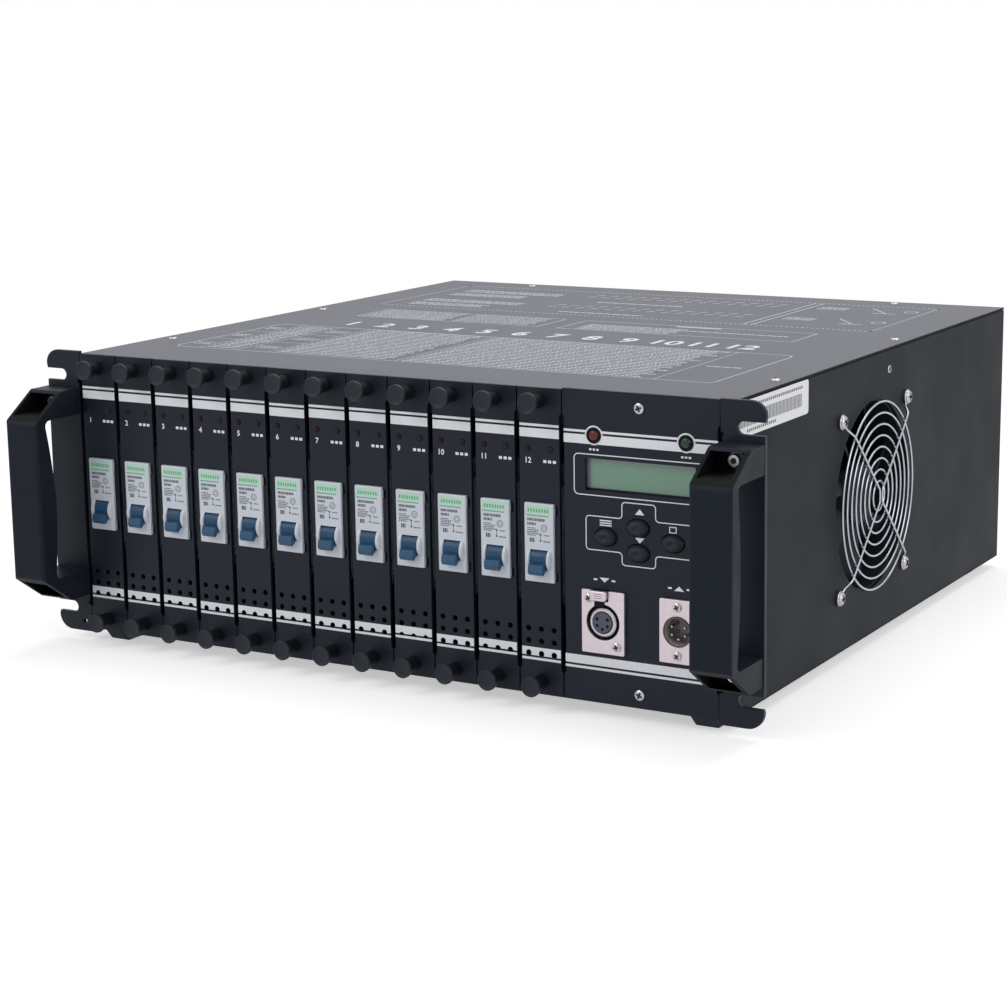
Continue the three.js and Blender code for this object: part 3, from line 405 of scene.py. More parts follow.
def sweep(path, radius, sides=10, closed=False):
    """A round wire along a path of points."""
    points = [Vector(p) for p in path]
    count = len(points)
    verts, faces = [], []
    side = None
    for i, here in enumerate(points):
        if closed:
            ahead = points[(i + 1) % count] - points[i - 1]
        else:
            ahead = points[min(i + 1, count - 1)] - points[max(i - 1, 0)]
        ahead.normalize()
        if side is None:
            side = ahead.orthogonal().normalized()
        side = (side - ahead * side.dot(ahead)).normalized()
        up = ahead.cross(side)
        for k in range(sides):
            t = 2 * math.pi * k / sides
            verts.append(here + (side * math.cos(t) + up * math.sin(t)) * radius)
    for i in range(count if closed else count - 1):
        j = (i + 1) % count
        for k in range(sides):
            n = (k + 1) % sides
            faces.append([i * sides + k, i * sides + n, j * sides + n, j * sides + k])
    if not closed:
        faces.append(list(range(sides)))
        faces.append(list(range((count - 1) * sides, count * sides)))
    return settle(new_mesh(verts, faces), ROUND, 60)


def ring(radius, height, steps, wire, sides):
    """A closed round wire."""
    return sweep([(x, y, height) for x, y in circle(0, 0, radius, steps)], wire, sides, closed=True)


def disc(radius, low, high, steps):
    return lathe([(0, low), (radius, low), (radius, high), (0, high)], steps)


def modified(mesh, kind, **settings):
    obj = bpy.data.objects.new("work", mesh)
    tuned(obj.modifiers.new("change", kind), **settings)
    return evaluated(obj)


def boolean(mesh, other, operation="DIFFERENCE"):
    tool = new_object("tool", other)
    result = modified(mesh, "BOOLEAN", operation=operation, solver="EXACT", object=tool)
    bpy.data.objects.remove(tool)
    return result


def bevelled(mesh, width, angle):
    return settle(modified(mesh, "BEVEL", width=width, segments=3, limit_method="ANGLE",
                           angle_limit=math.radians(angle), use_clamp_overlap=True))


def label(text, size, heavier=0.0):
    """Plain digits as a thin raised print, drawn in their own plane."""
    curve = tuned(bpy.data.curves.new("label", "FONT"), body=text, size=size, extrude=INK / 2,
                  resolution_u=3, offset=heavier, align_x="CENTER", align_y="CENTER")
    return settle(placed(evaluated(bpy.data.objects.new("label", curve)), at(0, 0, INK / 2)), 0.0)


def ink(outline, holes=()):
    return prism(outline, holes, INK, flat_area=0)


def patch(x0, x1, y0, y1, radius=0.0):
    """A printed bar."""
    return ink(rectangle(x0, x1, y0, y1, radius, 3))


def lifted(mesh):
    """Print on top of print."""
    return placed(mesh, at(0, 0, INK / 2))


def outline_print(points, width):
    """A printed line round a closed outline."""
    return ink(offset_loop(points, width / 2), [offset_loop(points, -width / 2)])


def offset_loop(points, distance):
    """The closed outline moved outwards by a distance."""
    area = sum(a[0] * b[1] - b[0] * a[1] for a, b in zip(points, points[1:] + points[:1]))
    way = 1 if area > 0 else -1
    out = []
    count = len(points)
    for i in range(count):
        a = Vector(points[i]) - Vector(points[i - 1])
        b = Vector(points[(i + 1) % count]) - Vector(points[i])
        na = Vector((a.y, -a.x)).normalized()
        nb = Vector((b.y, -b.x)).normalized()
        mid = (na + nb).normalized()
        out.append(tuple(Vector(points[i]) + mid * (way * distance / max(0.4, mid.dot(na)))))
    return out


class Piece:
    """Collects shapes in millimetres about a place, each with its surface, and makes one object of them."""

    def __init__(self, name, place=UPWARD):
        self.name, self.place = name, place
        self.bm = bmesh.new()
        self.surfaces = []

    def add(self, mesh, surface, place=UPWARD, inner=None, inside=None):
        """Adds a copy of a mesh in its place. Faces whose middle is inside get the inner surface."""
        self.surfaces += [name for name in (surface, inner) if name and name not in self.surfaces]
        copy = mesh.copy()
        for polygon in copy.polygons:
            chosen = inner if inside and inside(polygon.center) else surface
            polygon.material_index = self.surfaces.index(chosen)
        self.bm.from_mesh(placed(copy, self.place @ place))
        bpy.data.meshes.remove(copy)

    def add_all(self, shapes, surface, place=UPWARD):
        for mesh in shapes:
            self.add(mesh, surface, place)

    def screw(self, screw, place, turn=0.0):
        # The second mesh is the recess floor, painted dark as shade.
        for mesh, surface in zip(screw, ("bright_steel", "cup_brown_and_recess_shade")):
            self.add(mesh, surface, place @ spun(turn))

    def make(self, body, slot, *nodes):
        mesh = bpy.data.meshes.new(self.name)
        self.bm.to_mesh(mesh)
        self.bm.free()
        mesh.transform(Matrix.Scale(MM, 4))
        for surface in self.surfaces:
            mesh.materials.append(MATERIALS[surface])
        obj = new_object(self.name, mesh)
        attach(obj, body)
        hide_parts(*nodes)


# Screws, drawn with their seat at zero and the head outwards
def recessed(head, recess, floor, deep, height):
    """A screw's head with its recess cut in, and the floor of the recess, a dark disc of painted shade."""
    tool = placed(prism(recess, depth=height), at(0, 0, deep))
    return settle(boolean(head, tool), ROUND, 35), placed(prism(floor, depth=0.1), at(0, 0, deep))


def cross_screw(radius, height):
    """Domed head with a cross recess."""
    head = lathe([(0, -0.3), (radius, -0.3), (radius, height * 0.25), (radius * 0.93, height * 0.62),
                  (radius * 0.72, height * 0.9), (radius * 0.4, height), (0, height)], 32)
    arm, reach = radius * 0.2, radius * 0.6
    cross = [(arm, reach), (-arm, reach), (-arm, arm), (-reach, arm), (-reach, -arm), (-arm, -arm),
             (-arm, -reach), (arm, -reach), (arm, -arm), (reach, -arm), (reach, arm), (arm, arm)]
    return recessed(head, cross, offset_loop(cross, -0.02), height * 0.35, height)


def socket_screw(radius, height):
    head = lathe([(0, 0), (radius, 0), (radius, height - 0.4), (radius - 0.4, height), (0, height)], 36)
    hexagon, floor = [circle(0, 0, radius * share, 6) for share in (0.52, 0.5)]
    return recessed(head, hexagon, floor, height * 0.4, height)


panel_screw = cross_screw(3.1, 1.6)
lid_screw = cross_screw(2.7, 1.3)
small_screw = cross_screw(2.6, 1.2)
cap_screw = socket_screw(3.5, 4.3)


# Channel modules
VENT_PITCH, VENT_RISE = 8.1, 22.9 - PLATE_HALF
LAMP_X, LAMP_Z = 7, 52.4
HEAT_SINK = 150
NOTCHES = ((-21.2, -16.2), (15.7, 20.7))
NOSE = -1.5
LEVER_Y, LEVER_Z = 3.8, -9.5


def plate_outline(width):
    """A front plate, its long edges cut back between the ends."""
    half, top, relief = width / 2, PLATE_HALF, RELIEF
    edge = top - 13.5
    right = [(half, -top), (half, -edge), (half - relief, relief - edge), (half - relief, edge - relief),
             (half, edge), (half, top)]
    points = right + [(-x, -z) for x, z in right]
    return rounded(points, [0.5, 0.8, 0.8, 0.8, 0.8, 0.5] * 2, 3)


def module_plate():
    half_x, half_z, notch = 9.3, 22.65, 1.9
    cutout = [(-half_x, -half_z), (half_x, -half_z)]
    for low, high in NOTCHES:
        cutout += [(half_x, low), (half_x + notch, low), (half_x + notch, high), (half_x, high)]
    holes = [cutout + [(half_x, half_z), (-half_x, half_z)]]
    holes += [circle(VENT_PITCH * column, VENT_RISE + 7.1 * row, 1.6, 20)
              for row in range(3) for column in (-1, 0, 1)]
    holes += [circle(LAMP_X * side, LAMP_Z, 1.6, 20) for side in (-1, 1)]
    return prism(plate_outline(PITCH - 0.7), holes, PLATE, 0.25)


# How far each module's upper and lower printed bars lie above their usual place, and its upper screw below
UPPER_SHIFTS = (0.1, 0.05, -0.35, -0.3, -0.15, -0.8, 0.15, 0.4, 0.4, 0, 0.05, -0.2)
LOWER_SHIFTS = (0.15, 0.05, 0.45, -0.45, 0.15, 0.45, -0.15, 0.15, 1.15, -0.65, 0.35, -0.85)
SCREW_DROPS = (0.9, 0.9, 0.6, 0.0, -0.6, 0.0, 0.1, 0.6, 0.8, 0.5, 0.5, -0.2)


def module_print(upper, lower):
    """White bars across the plate; the lower thick one runs round the lowest vents."""
    half, vent = 12.3, 1.75
    low, high = lower - 63.85, lower - 59.15
    rise = VENT_RISE - low
    notch = math.acos(rise / vent)
    thick = [(-half, low)]
    for x in (-VENT_PITCH, 0, VENT_PITCH):
        thick += circle(x, low + rise, vent, 16, -math.pi / 2 - notch, 2 * notch - 2 * math.pi)
    bars = [(upper + 65.1, upper + 66.5), (upper + 58.95, upper + 63.95), (lower - 66.45, lower - 65.0)]
    thick += [(half, low), (half, high), (-half, high)]
    squares = [patch(x - 1.0, x + 1.0, 44.9, 46.5, 0.2) for x in (3.4, 6.4, 9.4)]
    return [ink(thick), *[patch(-half, half, *bar) for bar in bars], *squares]


def thumb_head():
    """Knurled disc with a shallow dish, and its thick neck; the plate's face is at zero."""
    head = lathe([(0, 11.4), (5.7, 11.4), (5.98, 11.65), (5.98, 13.5), (5.65, 13.87), (5.2, 13.87),
                  (4.7, 13.5), (3.2, 13.3), (0, 13.25)], 72, 50, ripple=0.018)
    neck = lathe([(0, -0.1), (4.1, -0.1), (4.1, 10.8), (3.8, 11.42), (0, 11.42)], 32)
    return [head, neck]


def thumb_thread():
    """Turns of thread behind the plate."""
    profile = [(0, 0)]
    for i in range(11):
        profile += [(1.9, -0.8 * i - 0.1), (1.55, -0.8 * i - 0.5)]
    profile += [(1.2, -10.8), (0, -10.8)]
    return lathe(profile, 16)


def heat_sink():
    """Finned aluminium on the board, drawn across the board and upwards."""
    root, tip, wall = -11.0, 8.4, 2.4
    low, high, fins = -64.5, -10.5, 5
    comb = []
    for i in range(fins):
        z = low + i * (high - low - wall) / (fins - 1)
        comb += [(root + wall, z), (tip, z), (tip, z + wall), (root + wall, z + wall)]
    return prism([(root, low), *comb[1:-1], (root, high)], depth=HEAT_SINK, bevel=0.2)


def choke():
    """A wound ring on the board, its turns all round it."""
    radius, turns, steps = 18, 40, 10
    wound = []
    for k in range(turns * steps):
        t = 2 * math.pi * k / (turns * steps)
        p = 2 * math.pi * k / steps
        r = radius + 6.6 * math.cos(p)
        wound.append((r * math.cos(t), r * math.sin(t), 6.6 * math.sin(p)))
    return ring(radius, 0, 48, 6.2, 16), sweep(wound, 0.55, 6, closed=True)


def module_inside():
    """The board and what it carries. Depth runs from the plate's face to the rear."""
    core, turns = choke()
    middle = at(-3.6, 121.8, 39.0, RIGHTWARD)
    can = lathe([(0, 0), (6.3, 0), (6.5, 0.5), (6.5, 14.5), (6.0, 15), (0, 15)], 28)
    shapes = [
        (box(-12.2, -10.6, 2.1, 322.5, -65.6, 65.6, 0.2), "board_green"),
        (heat_sink(), "aluminium", at(0, 96.8 + HEAT_SINK, 0, FRONTAL)),
        (core, "black_plastic", middle),
        (turns, "copper_wire", middle),
        (box(-12.2, -4.2, 314.5, 330.5, -30, 30, 0.4), "black_plastic"),
        (box(-11.0, 8.9, 67.1, 69.1, -20, 20, 0.3), "bright_steel"),
        (box(-10.8, 1.0, 290, 302, 30, 60, 0.4), "socket_beige"),
    ]
    shapes += [(box(-9.2, -7.2, 330.0, 330.6, z - 2, z + 2, 0.1), "brass") for z in range(-25, 26, 10)]
    for y, z in ((200, 35), (235, 42), (235, 15)):
        shapes.append((box(-10.8, 2.0, y, y + 26, z - 8, z + 8, 1.0), "film_yellow"))
    for y, z in ((190, 5), (275, 10), (275, -20)):
        shapes.append((can, "black_plastic", at(-10.7, y, z, RIGHTWARD)))
    return shapes


def breaker_body():
    """Stepped body with the lever's slot."""
    upper = [(NOSE, 22.25), (2.8, 22.25), (2.8, 31), (22.8, 31), (22.8, 40.5), (66.8, 40.5)]
    side = upper + [(y, -z) for y, z in reversed(upper)]
    radii = [0.9, 0.3, 1.0, 0.3, 1.5, 1.5]
    body = prism(rounded(side, radii + radii[::-1], 4), depth=18.2, bevel=0.35)
    slot = placed(disc(7.75, -5.4, 5.4, 48), at(0, LEVER_Y, LEVER_Z, RIGHTWARD))
    return settle(boolean(placed(body, at(-9.1, 0, 0, RIGHTWARD)), slot))


def breaker_print():
    """Pale green head strip with its line, rows of small marks and a switching sign."""
    green = [patch(-7.9, 6.2, 15.0, 15.7, 0.1)]
    green += [lifted(patch(-6.9 + 1.7 * k, -5.9 + 1.7 * k, 17.3, 19.2)) for k in range(8)]
    dark = []
    for z, x, end, tall in (
            (13.0, -7.2, 4.0, 1.5), (10.6, -7.2, -1.9, 1.5), (8.2, -7.2, -2.4, 0.55), (7.2, -7.2, 0.2, 0.55),
            (6.2, -7.2, -0.6, 0.6), (5.2, -7.2, 0.4, 0.6), (4.2, -7.2, -1.8, 0.55), (1.5, -5.8, -2.6, 2.4),
            (4.6, 3.2, 6.6, 0.6), (1.1, 2.6, 7.2, 0.7)):
        while x < end:
            step = random.uniform(0.45, 1.0)
            dark.append(patch(x, min(x + step, end), z - tall / 2, z + tall / 2))
            x += step + 0.3
    dark.append(patch(0.95, 1.25, 1.4, 4.8))
    dark += [ink(circle(1.1, z, 0.6, 12)) for z in (1.4, 4.8)]
    for radius, width in ((1.9, 0.3), (1.0, 0.25)):
        dark.append(outline_print(circle(3.3, 8.6, radius, 24), width))
    return (([patch(-8.0, 7.4, 16.4, 20.9, 0.3)], "band_green"), (green, "line_green"), (dark, "print_dark"))


def lever_body():
    """Ribbed drum with its paddle, about the pivot, resting down."""
    paddle = [(-4.6, 2.0), (-7.2, 1.95), (-9.3, 2.75), (-11.95, 0.1), (-11.95, -2.8),
              (-7.2, -1.95), (-4.6, -2.0)]
    blade = prism(rounded(paddle, [0, 1.5, 0.5, 0.5, 0.7, 2, 0], 4), depth=9.5, bevel=0.4, flat_area=2)
    ribs = []
    for k in range(-4, 5):
        ribs += [(r, 1.05 * k + way) for r, way in ((6.7, -0.3), (6.97, -0.15), (6.97, 0.15), (6.7, 0.3))]
    drum = lathe([(0, -5.08), (6.6, -5.08), (6.7, -4.95), *ribs, (6.7, 4.95), (6.6, 5.08), (0, 5.08)], 48)
    rest = Matrix.Rotation(math.radians(30), 4, "X")
    return [placed(drum, RIGHTWARD), placed(blade, rest @ at(-4.75, 0, 0, RIGHTWARD))]


def add_modules():
    plate, carried = module_plate(), module_inside()
    # The thumb screws' necks are darker than their heads: painted shade under the heads.
    thumb = (*zip(thumb_head(), ("knob_plastic", "dark_plastic_and_shade")), (thumb_thread(), "bright_steel"))
    lamp = lathe([(0, -1), (1.5, -1), (1.5, 0.1), (1.3, 0.5), (0.8, 0.8), (0, 0.9)], 20)
    cheek = lathe([(0, 0), (7.5, 0), (7.9, 0.4), (7.9, 1.7), (7.3, 2.3), (6.2, 2.6), (0, 2.6)], 48)
    rivet = lathe([(0, -0.1), (1.6, -0.1), (1.6, 0.15), (1.1, 0.35), (0, 0.35)], 20)
    body, marks, lever = breaker_body(), breaker_print(), lever_body()
    for i, x in enumerate(MODULE_X):
        name = f"module_{i + 1:02d}"
        middle = at(x, FRONT, MIDDLE)
        piece = Piece(f"{name}_body", middle)
        piece.add(plate, "front_paint", at(0, PLATE, 0, FRONTAL))
        piece.add_all(module_print(UPPER_SHIFTS[i], LOWER_SHIFTS[i]), "print_white", FRONTAL)
        piece.add(label(str(i + 1), 4.4, 0.09), "print_white", FRONTAL @ at(-7.2, 45.7, 0))
        for side, lens, drop in ((-1, "lamp_red", 0), (1, "lamp_green", SCREW_DROPS[i])):
            piece.add(lamp, lens, FRONTAL @ at(LAMP_X * side, LAMP_Z, 0))
            for mesh, surface in thumb:
                piece.add(mesh, surface, FRONTAL @ at(0, side * SCREW_RISE - drop, 0))
            # Near-black blocks behind the plate's notches beside the breaker: painted shade in the notches.
            for low, high in NOTCHES:
                piece.add(box(*span(side, 9.2, 11.6), 0.7, 2.4, low - 0.2, high + 0.2, 0.1), "gap_shade")
        for shape in carried:
            piece.add(*shape)
        piece.make(name, "front_paint", f"{name}_carrier")

        piece = Piece(f"{name}_switch_body", middle)
        piece.add(body, "moulded_white")
        for meshes, surface in marks:
            piece.add_all(meshes, surface, at(0, NOSE, 0, FRONTAL))
        for side, turn in ((-1, LEFTWARD), (1, RIGHTWARD)):
            piece.add(cheek, "moulded_white", at(5.4 * side, LEVER_Y, LEVER_Z, turn))
            for y, z in ((14, 24), (14, -24), (56, 32), (56, -32), (40, 4)):
                piece.add(rivet, "brass", at(9.1 * side, y, z, turn))
        piece.make(name, "breaker_white", f"{name}_breaker")

        piece = Piece(f"{name}_toggle", middle)
        piece.add_all(lever, "moulded_blue", at(0, LEVER_Y, LEVER_Z))
        piece.make(f"lever_{i + 1:02d}", "lever_blue", f"{name}_lever")


# Ears, the frame behind the plates, and the handles
def ear_outline(side):
    """One ear with its two open slots, and the cut-back inner edge with a round notch at each end."""
    slot, high, notch = 3.5, 177.0, 1.3
    bottom, top = 9.5, 8.5
    seam = BAY_HALF - (0.3 if side > 0 else 0)
    points = [(seam, 0)]
    points += circle(RACK_HALF - bottom, bottom, bottom, 8, -math.pi / 2, math.pi / 2)
    for level, inner in ((15.0, 229.7), (162.2, 228.3) if side > 0 else (162.0, 229.7)):
        points += [(RACK_HALF - 0.6, level - slot)]
        points += circle(inner, level, slot, 12, -math.pi / 2, -math.pi)
        points += [(RACK_HALF - 0.6, level + slot)]
        points += [(RACK_HALF, level + slot + 0.6)] if level < 100 else []
    points += circle(RACK_HALF - top, high - top, top, 8, 0, math.pi / 2)
    points += [(seam, high)]
    for level, start in ((158.2, 132), (18.8, 79)):
        middle = BAY_HALF + RELIEF - 0.25
        points += circle(middle, level, notch, 10, math.radians(start), math.radians(-211))
    return [(side * x, z + 6.0) for x, z in points]


def add_frame():
    piece = Piece("case_frame_body", at(0, FRONT, 0))
    lid_rail = (RAIL_TOP - SHEET, RAIL_TOP, 0.3)
    for side in (-1, 1):
        holes = [circle(side * 221, 12.4, 1.5, 16)] if side < 0 else []
        piece.add(prism(ear_outline(side), holes, 3.0, 0.3), "front_paint", at(0, 3.0, 0, FRONTAL))
        piece.add(box(*span(side, 216.7, FRAME_HALF), 2.6, 40, 9.0, RAIL_TOP, 0.2), "case_paint")
        piece.add(box(*span(side, 202.7, FRAME_HALF), 2.8, CASE_DEPTH, *lid_rail), "case_paint")
    piece.add(box(-FRAME_HALF, FRAME_HALF, CASE_DEPTH - 15, CASE_DEPTH, *lid_rail), "case_paint")
    for low, high, way in ((9.0, 24.0, -1), (162.2, RAIL_TOP, 1)):
        holes = [circle(x, MIDDLE + way * SCREW_RISE, 2.3, 16) for x in MODULE_X]
        rail = prism(rectangle(-FRAME_HALF, FRAME_HALF, low, high), holes, 12.0, 0.2)
        piece.add(rail, "case_paint", at(0, 14.8, 0, FRONTAL))
    piece.make("case", "front_paint", "case_frame")


def handle_shape(bow, low):
    """Bowed grip, thicker at its low end, between two sloping legs, each with a pocket for its screw."""
    half, grip, leg, flat = 65.2, 48.2, 49.1, 16.5
    depth, inner, bend = 41.3, 32.7, 3.5
    outer = [(0.3, -half), (flat, -half), (depth, -grip), (depth, grip), (flat, half), (0.3, half)]
    side = rounded(outer, [0, 3.0, 4.0, 4.0, 3.0, 0], 4) + [(0.3, leg), (inner - bend, leg)]
    corner = [(bend * math.sin(t), bend * math.cos(t)) for t in [math.radians(15 * k) for k in range(1, 7)]]
    side += [(inner - bend + y, leg - bend + z) for y, z in corner]
    for k in range(1, 16):
        z = (leg - bend) * (1 - k / 8)
        side.append((inner - bow * (1 - (z / (leg - bend)) ** 2) - low * min(1.0, k / 8), z))
    side += [(inner - low - bend + y, bend - leg - z) for y, z in reversed(corner)]
    side += [(inner - low - bend, -leg), (0.3, -leg)]
    wide = 12.15
    body = placed(prism([(-y, z) for y, z in side], depth=2 * wide), at(-wide, 0, 0, RIGHTWARD))
    plan = rounded([(wide, 1), (-wide, 1), (-wide, -depth), (wide, -depth)], [0, 0, 2.5, 2.5], 5)
    body = boolean(body, placed(prism(plan, depth=150), at(0, 0, -75)), "INTERSECT")
    for way in (-1, 1):
        body = boolean(body, box(-10.1, 9.1, -60, -8, *span(way, 51.8, 63.6), 0))
    return bevelled(body, 0.7, 25)


def in_pocket(place):
    return -10.2 < place.x < 9.2 and 51.7 < abs(place.z) < 63.7 and place.y < -7.9


def add_handles():
    washer = disc(4.6, 0, 0.8, 28)
    for name, x, bow, low in (("handle_left", -228.45, 3.2, 3.2), ("handle_right", 228.45, 3.2, 0.0)):
        piece = Piece(f"{name}_body", at(x, FRONT, MIDDLE))
        # The pockets take a near-black paint instead of the handle's own: painted shade in the pockets.
        piece.add(handle_shape(bow, low), "handle_paint", UPWARD, "pocket_and_edge_shade", in_pocket)
        for z in (-57.7, 57.7):
            piece.screw(cap_screw, at(0, -8, z, FRONTAL))
            piece.add(washer, "dark_steel", at(0, -8, z, FRONTAL))
        piece.make("case", "handle_black", name)


# Control panel
KEYS = {
    "button_menu": ("key_menu", -20.6, 7.1),
    "button_up": ("key_up", -0.9, 13.9),
    "button_down": ("key_down", -0.8, 0.0),
    "button_esc": ("key_esc", 19.8, 7.4),
}
OUTLET_X, INLET_X, CONNECTOR_Z = -21.5, 23.5, -40.3
PANEL_LAMP_X, PANEL_LAMP_Z = 27.5, 62.5
PLATE_FACE, REACH = 2.3, 3.4


def control_plate():
    holes = [rectangle(-33, 33, 32.05, 49.75, 0.6, 3)]
    holes += [[(x + 7.1 * a, z + 5.1 * b) for a, b in circle(0, 0, 1, 40)] for _, x, z in KEYS.values()]
    holes += [circle(x, CONNECTOR_Z, 11.4, 40) for x in (OUTLET_X, INLET_X)]
    outline = [(x, z + 0.8) if z > 80 else (x, z) for x, z in plate_outline(93.9)]
    return prism(outline, holes, PLATE, 0.25)


def arrow(x, z, half, rise):
    """A printed triangle, its tip rise above its base."""
    base = [(x - half, z), (x + half, z)]
    return ink((base if rise > 0 else base[::-1]) + [(x, z + rise)])


def control_print():
    """Bars, frames and lamp rings of the control plate, and plain signs beside its keys and connectors."""
    half = 46.0
    bars = [patch(-half, half, *row) for row in (
        (63.8, 65.1, 0.2), (57.6, 62.6, 0.3), (-65.7, -60.8, 0.3), (-68.3, -66.9, 0.2))]
    bars.append(outline_print(rectangle(-39.7, 39.7, 29.6, 52.0, 2.5), 0.55))
    cross = [(-32.6, -0.6), (-10.7, -0.6), (-10.7, -7.5), (9.5, -7.5), (9.5, -0.6), (32.6, -0.6),
             (32.6, 18.2), (9.5, 18.2), (9.5, 27.3), (-10.7, 27.3), (-10.7, 18.2), (-32.6, 18.2)]
    bars.append(outline_print(rounded(cross, 2.0, 4), 0.55))
    for x, way in ((OUTLET_X, 1), (INLET_X, -1)):
        bars.append(arrow(x, -17.0 + way * 1.3, 3.0, -2.6 * way))
        bars += [patch(x + a, x + b, -17.5, -16.5) for a, b in ((-6.6, -4.4), (4.4, 6.6))]
    for x in (-PANEL_LAMP_X, PANEL_LAMP_X):
        bars.append(prism(circle(x, PANEL_LAMP_Z, 5.4, 32), depth=INK * 1.6, flat_area=0))
        bars += [patch(x + 2.2 * k - 0.7, x + 2.2 * k + 0.7, 54.2, 55.3) for k in (-1, 0, 1)]
    bars += [patch(-24.2, -17.0, 13.2 + k * 1.3, 13.9 + k * 1.3) for k in range(3)]
    bars += [arrow(0, 21.2, 2.8, 3.2), arrow(0, 8.6, 2.8, -3.0)]
    bars.append(outline_print(rectangle(17.9, 21.7, 13.3, 16.3), 0.5))
    return bars


def add_control_panel():
    piece = Piece("control_panel_body", at(CONTROL_X, FRONT, MIDDLE, FRONTAL))
    piece.add(control_plate(), "front_paint", at(0, 0, -PLATE))
    piece.add_all(control_print(), "print_white")
    collar = lathe([(0, 0), (4.4, 0), (4.4, 0.5), (4.1, 0.7), (3.3, 0.7), (3.1, 0.4), (0, 0.4)], 36)
    dome = lathe([(0, 0), (3.0, 0), (3.0, 0.5), (2.6, 1.1), (1.7, 1.5), (0.8, 1.58), (0, 1.6)], 32)
    for side, lens in ((-1, "lens_red"), (1, "lens_green")):
        for mesh, surface in ((collar, "dark_plastic_and_shade"), (dome, lens)):
            piece.add(mesh, surface, at(PANEL_LAMP_X * side, PANEL_LAMP_Z, 0))
        piece.screw(panel_screw, at(0, side * SCREW_RISE, 0), 0.4 * side)
    piece.make("case", "front_paint", "control_panel")


def add_keys():
    """Oval caps with a shallow dish, on their stems."""
    cap = lathe([(0, 2.35), (1.0, 2.5), (1.8, 3.0), (2.4, 3.38), (3.2, 3.36), (4.6, 2.95), (5.8, 2.0),
                 (6.5, 1.0), (6.75, 0), (6.75, -2.8), (7.9, -2.85), (7.9, -4.3), (2.0, -4.3), (2.0, -7.2),
                 (0, -7.2)], 48, 50)
    cap.transform(Matrix.Diagonal((1, 4.8 / 6.8, 1, 1)))
    for node_name, (body, x, z) in KEYS.items():
        piece = Piece(f"{node_name}_cap", at(CONTROL_X + x, FRONT, MIDDLE + z, FRONTAL))
        piece.add(cap, "key_rubber")
        piece.make(body, "black_plastic", node_name)


def add_control_board():
    piece = Piece("control_board_body", at(CONTROL_X, FRONT, MIDDLE))
    piece.add(box(-42, 42, 14.0, 15.6, -13, 62, 0.2), "board_green")
    half, low, high = 37.5, 27.55, 54.25
    piece.add(box(-half, half, 4.2, 14.2, low, high, 0.4), "black_plastic")
    window = rectangle(-34, 34, 33.0, 50.3, 0.8)
    bezel = prism(rectangle(-half, half, low, high, 0.5), [window], 1.4, 0.3)
    piece.add(bezel, "front_paint", at(0, 4.2, 0, FRONTAL))
    piece.add(box(-34.6, 34.6, 3.4, 4.5, 32.4, 50.9, 0.05), "display_glass")
    for _, x, z in KEYS.values():
        piece.add(box(x - 3.25, x + 3.25, 9.0, 14.2, z - 3.25, z + 3.25, 0.3), "black_plastic")
    for x in (-39.5, 39.5):
        for z in (-10.5, 59.5):
            piece.add(prism(circle(x, z, 2.8, 6), depth=11.4, bevel=0.2), "brass", at(0, 14.2, 0, FRONTAL))
    piece.add(box(-25, 25, 15.2, 57.6, -5.5, 54.5, 1.0), "aluminium")
    # Near-black strips across the back of the aluminium block: painted shade.
    for x in range(-20, 21, 8):
        piece.add(box(x - 2.5, x + 2.5, 57.0, 57.7, -2, 51, 0.1), "gap_shade")
    piece.make("case", "circuit_board", "control_board")


def pin_places(radius):
    """Five of six places round a circle, the top one left out."""
    return circle(0, 0, radius, 6, math.pi / 2)[1:]


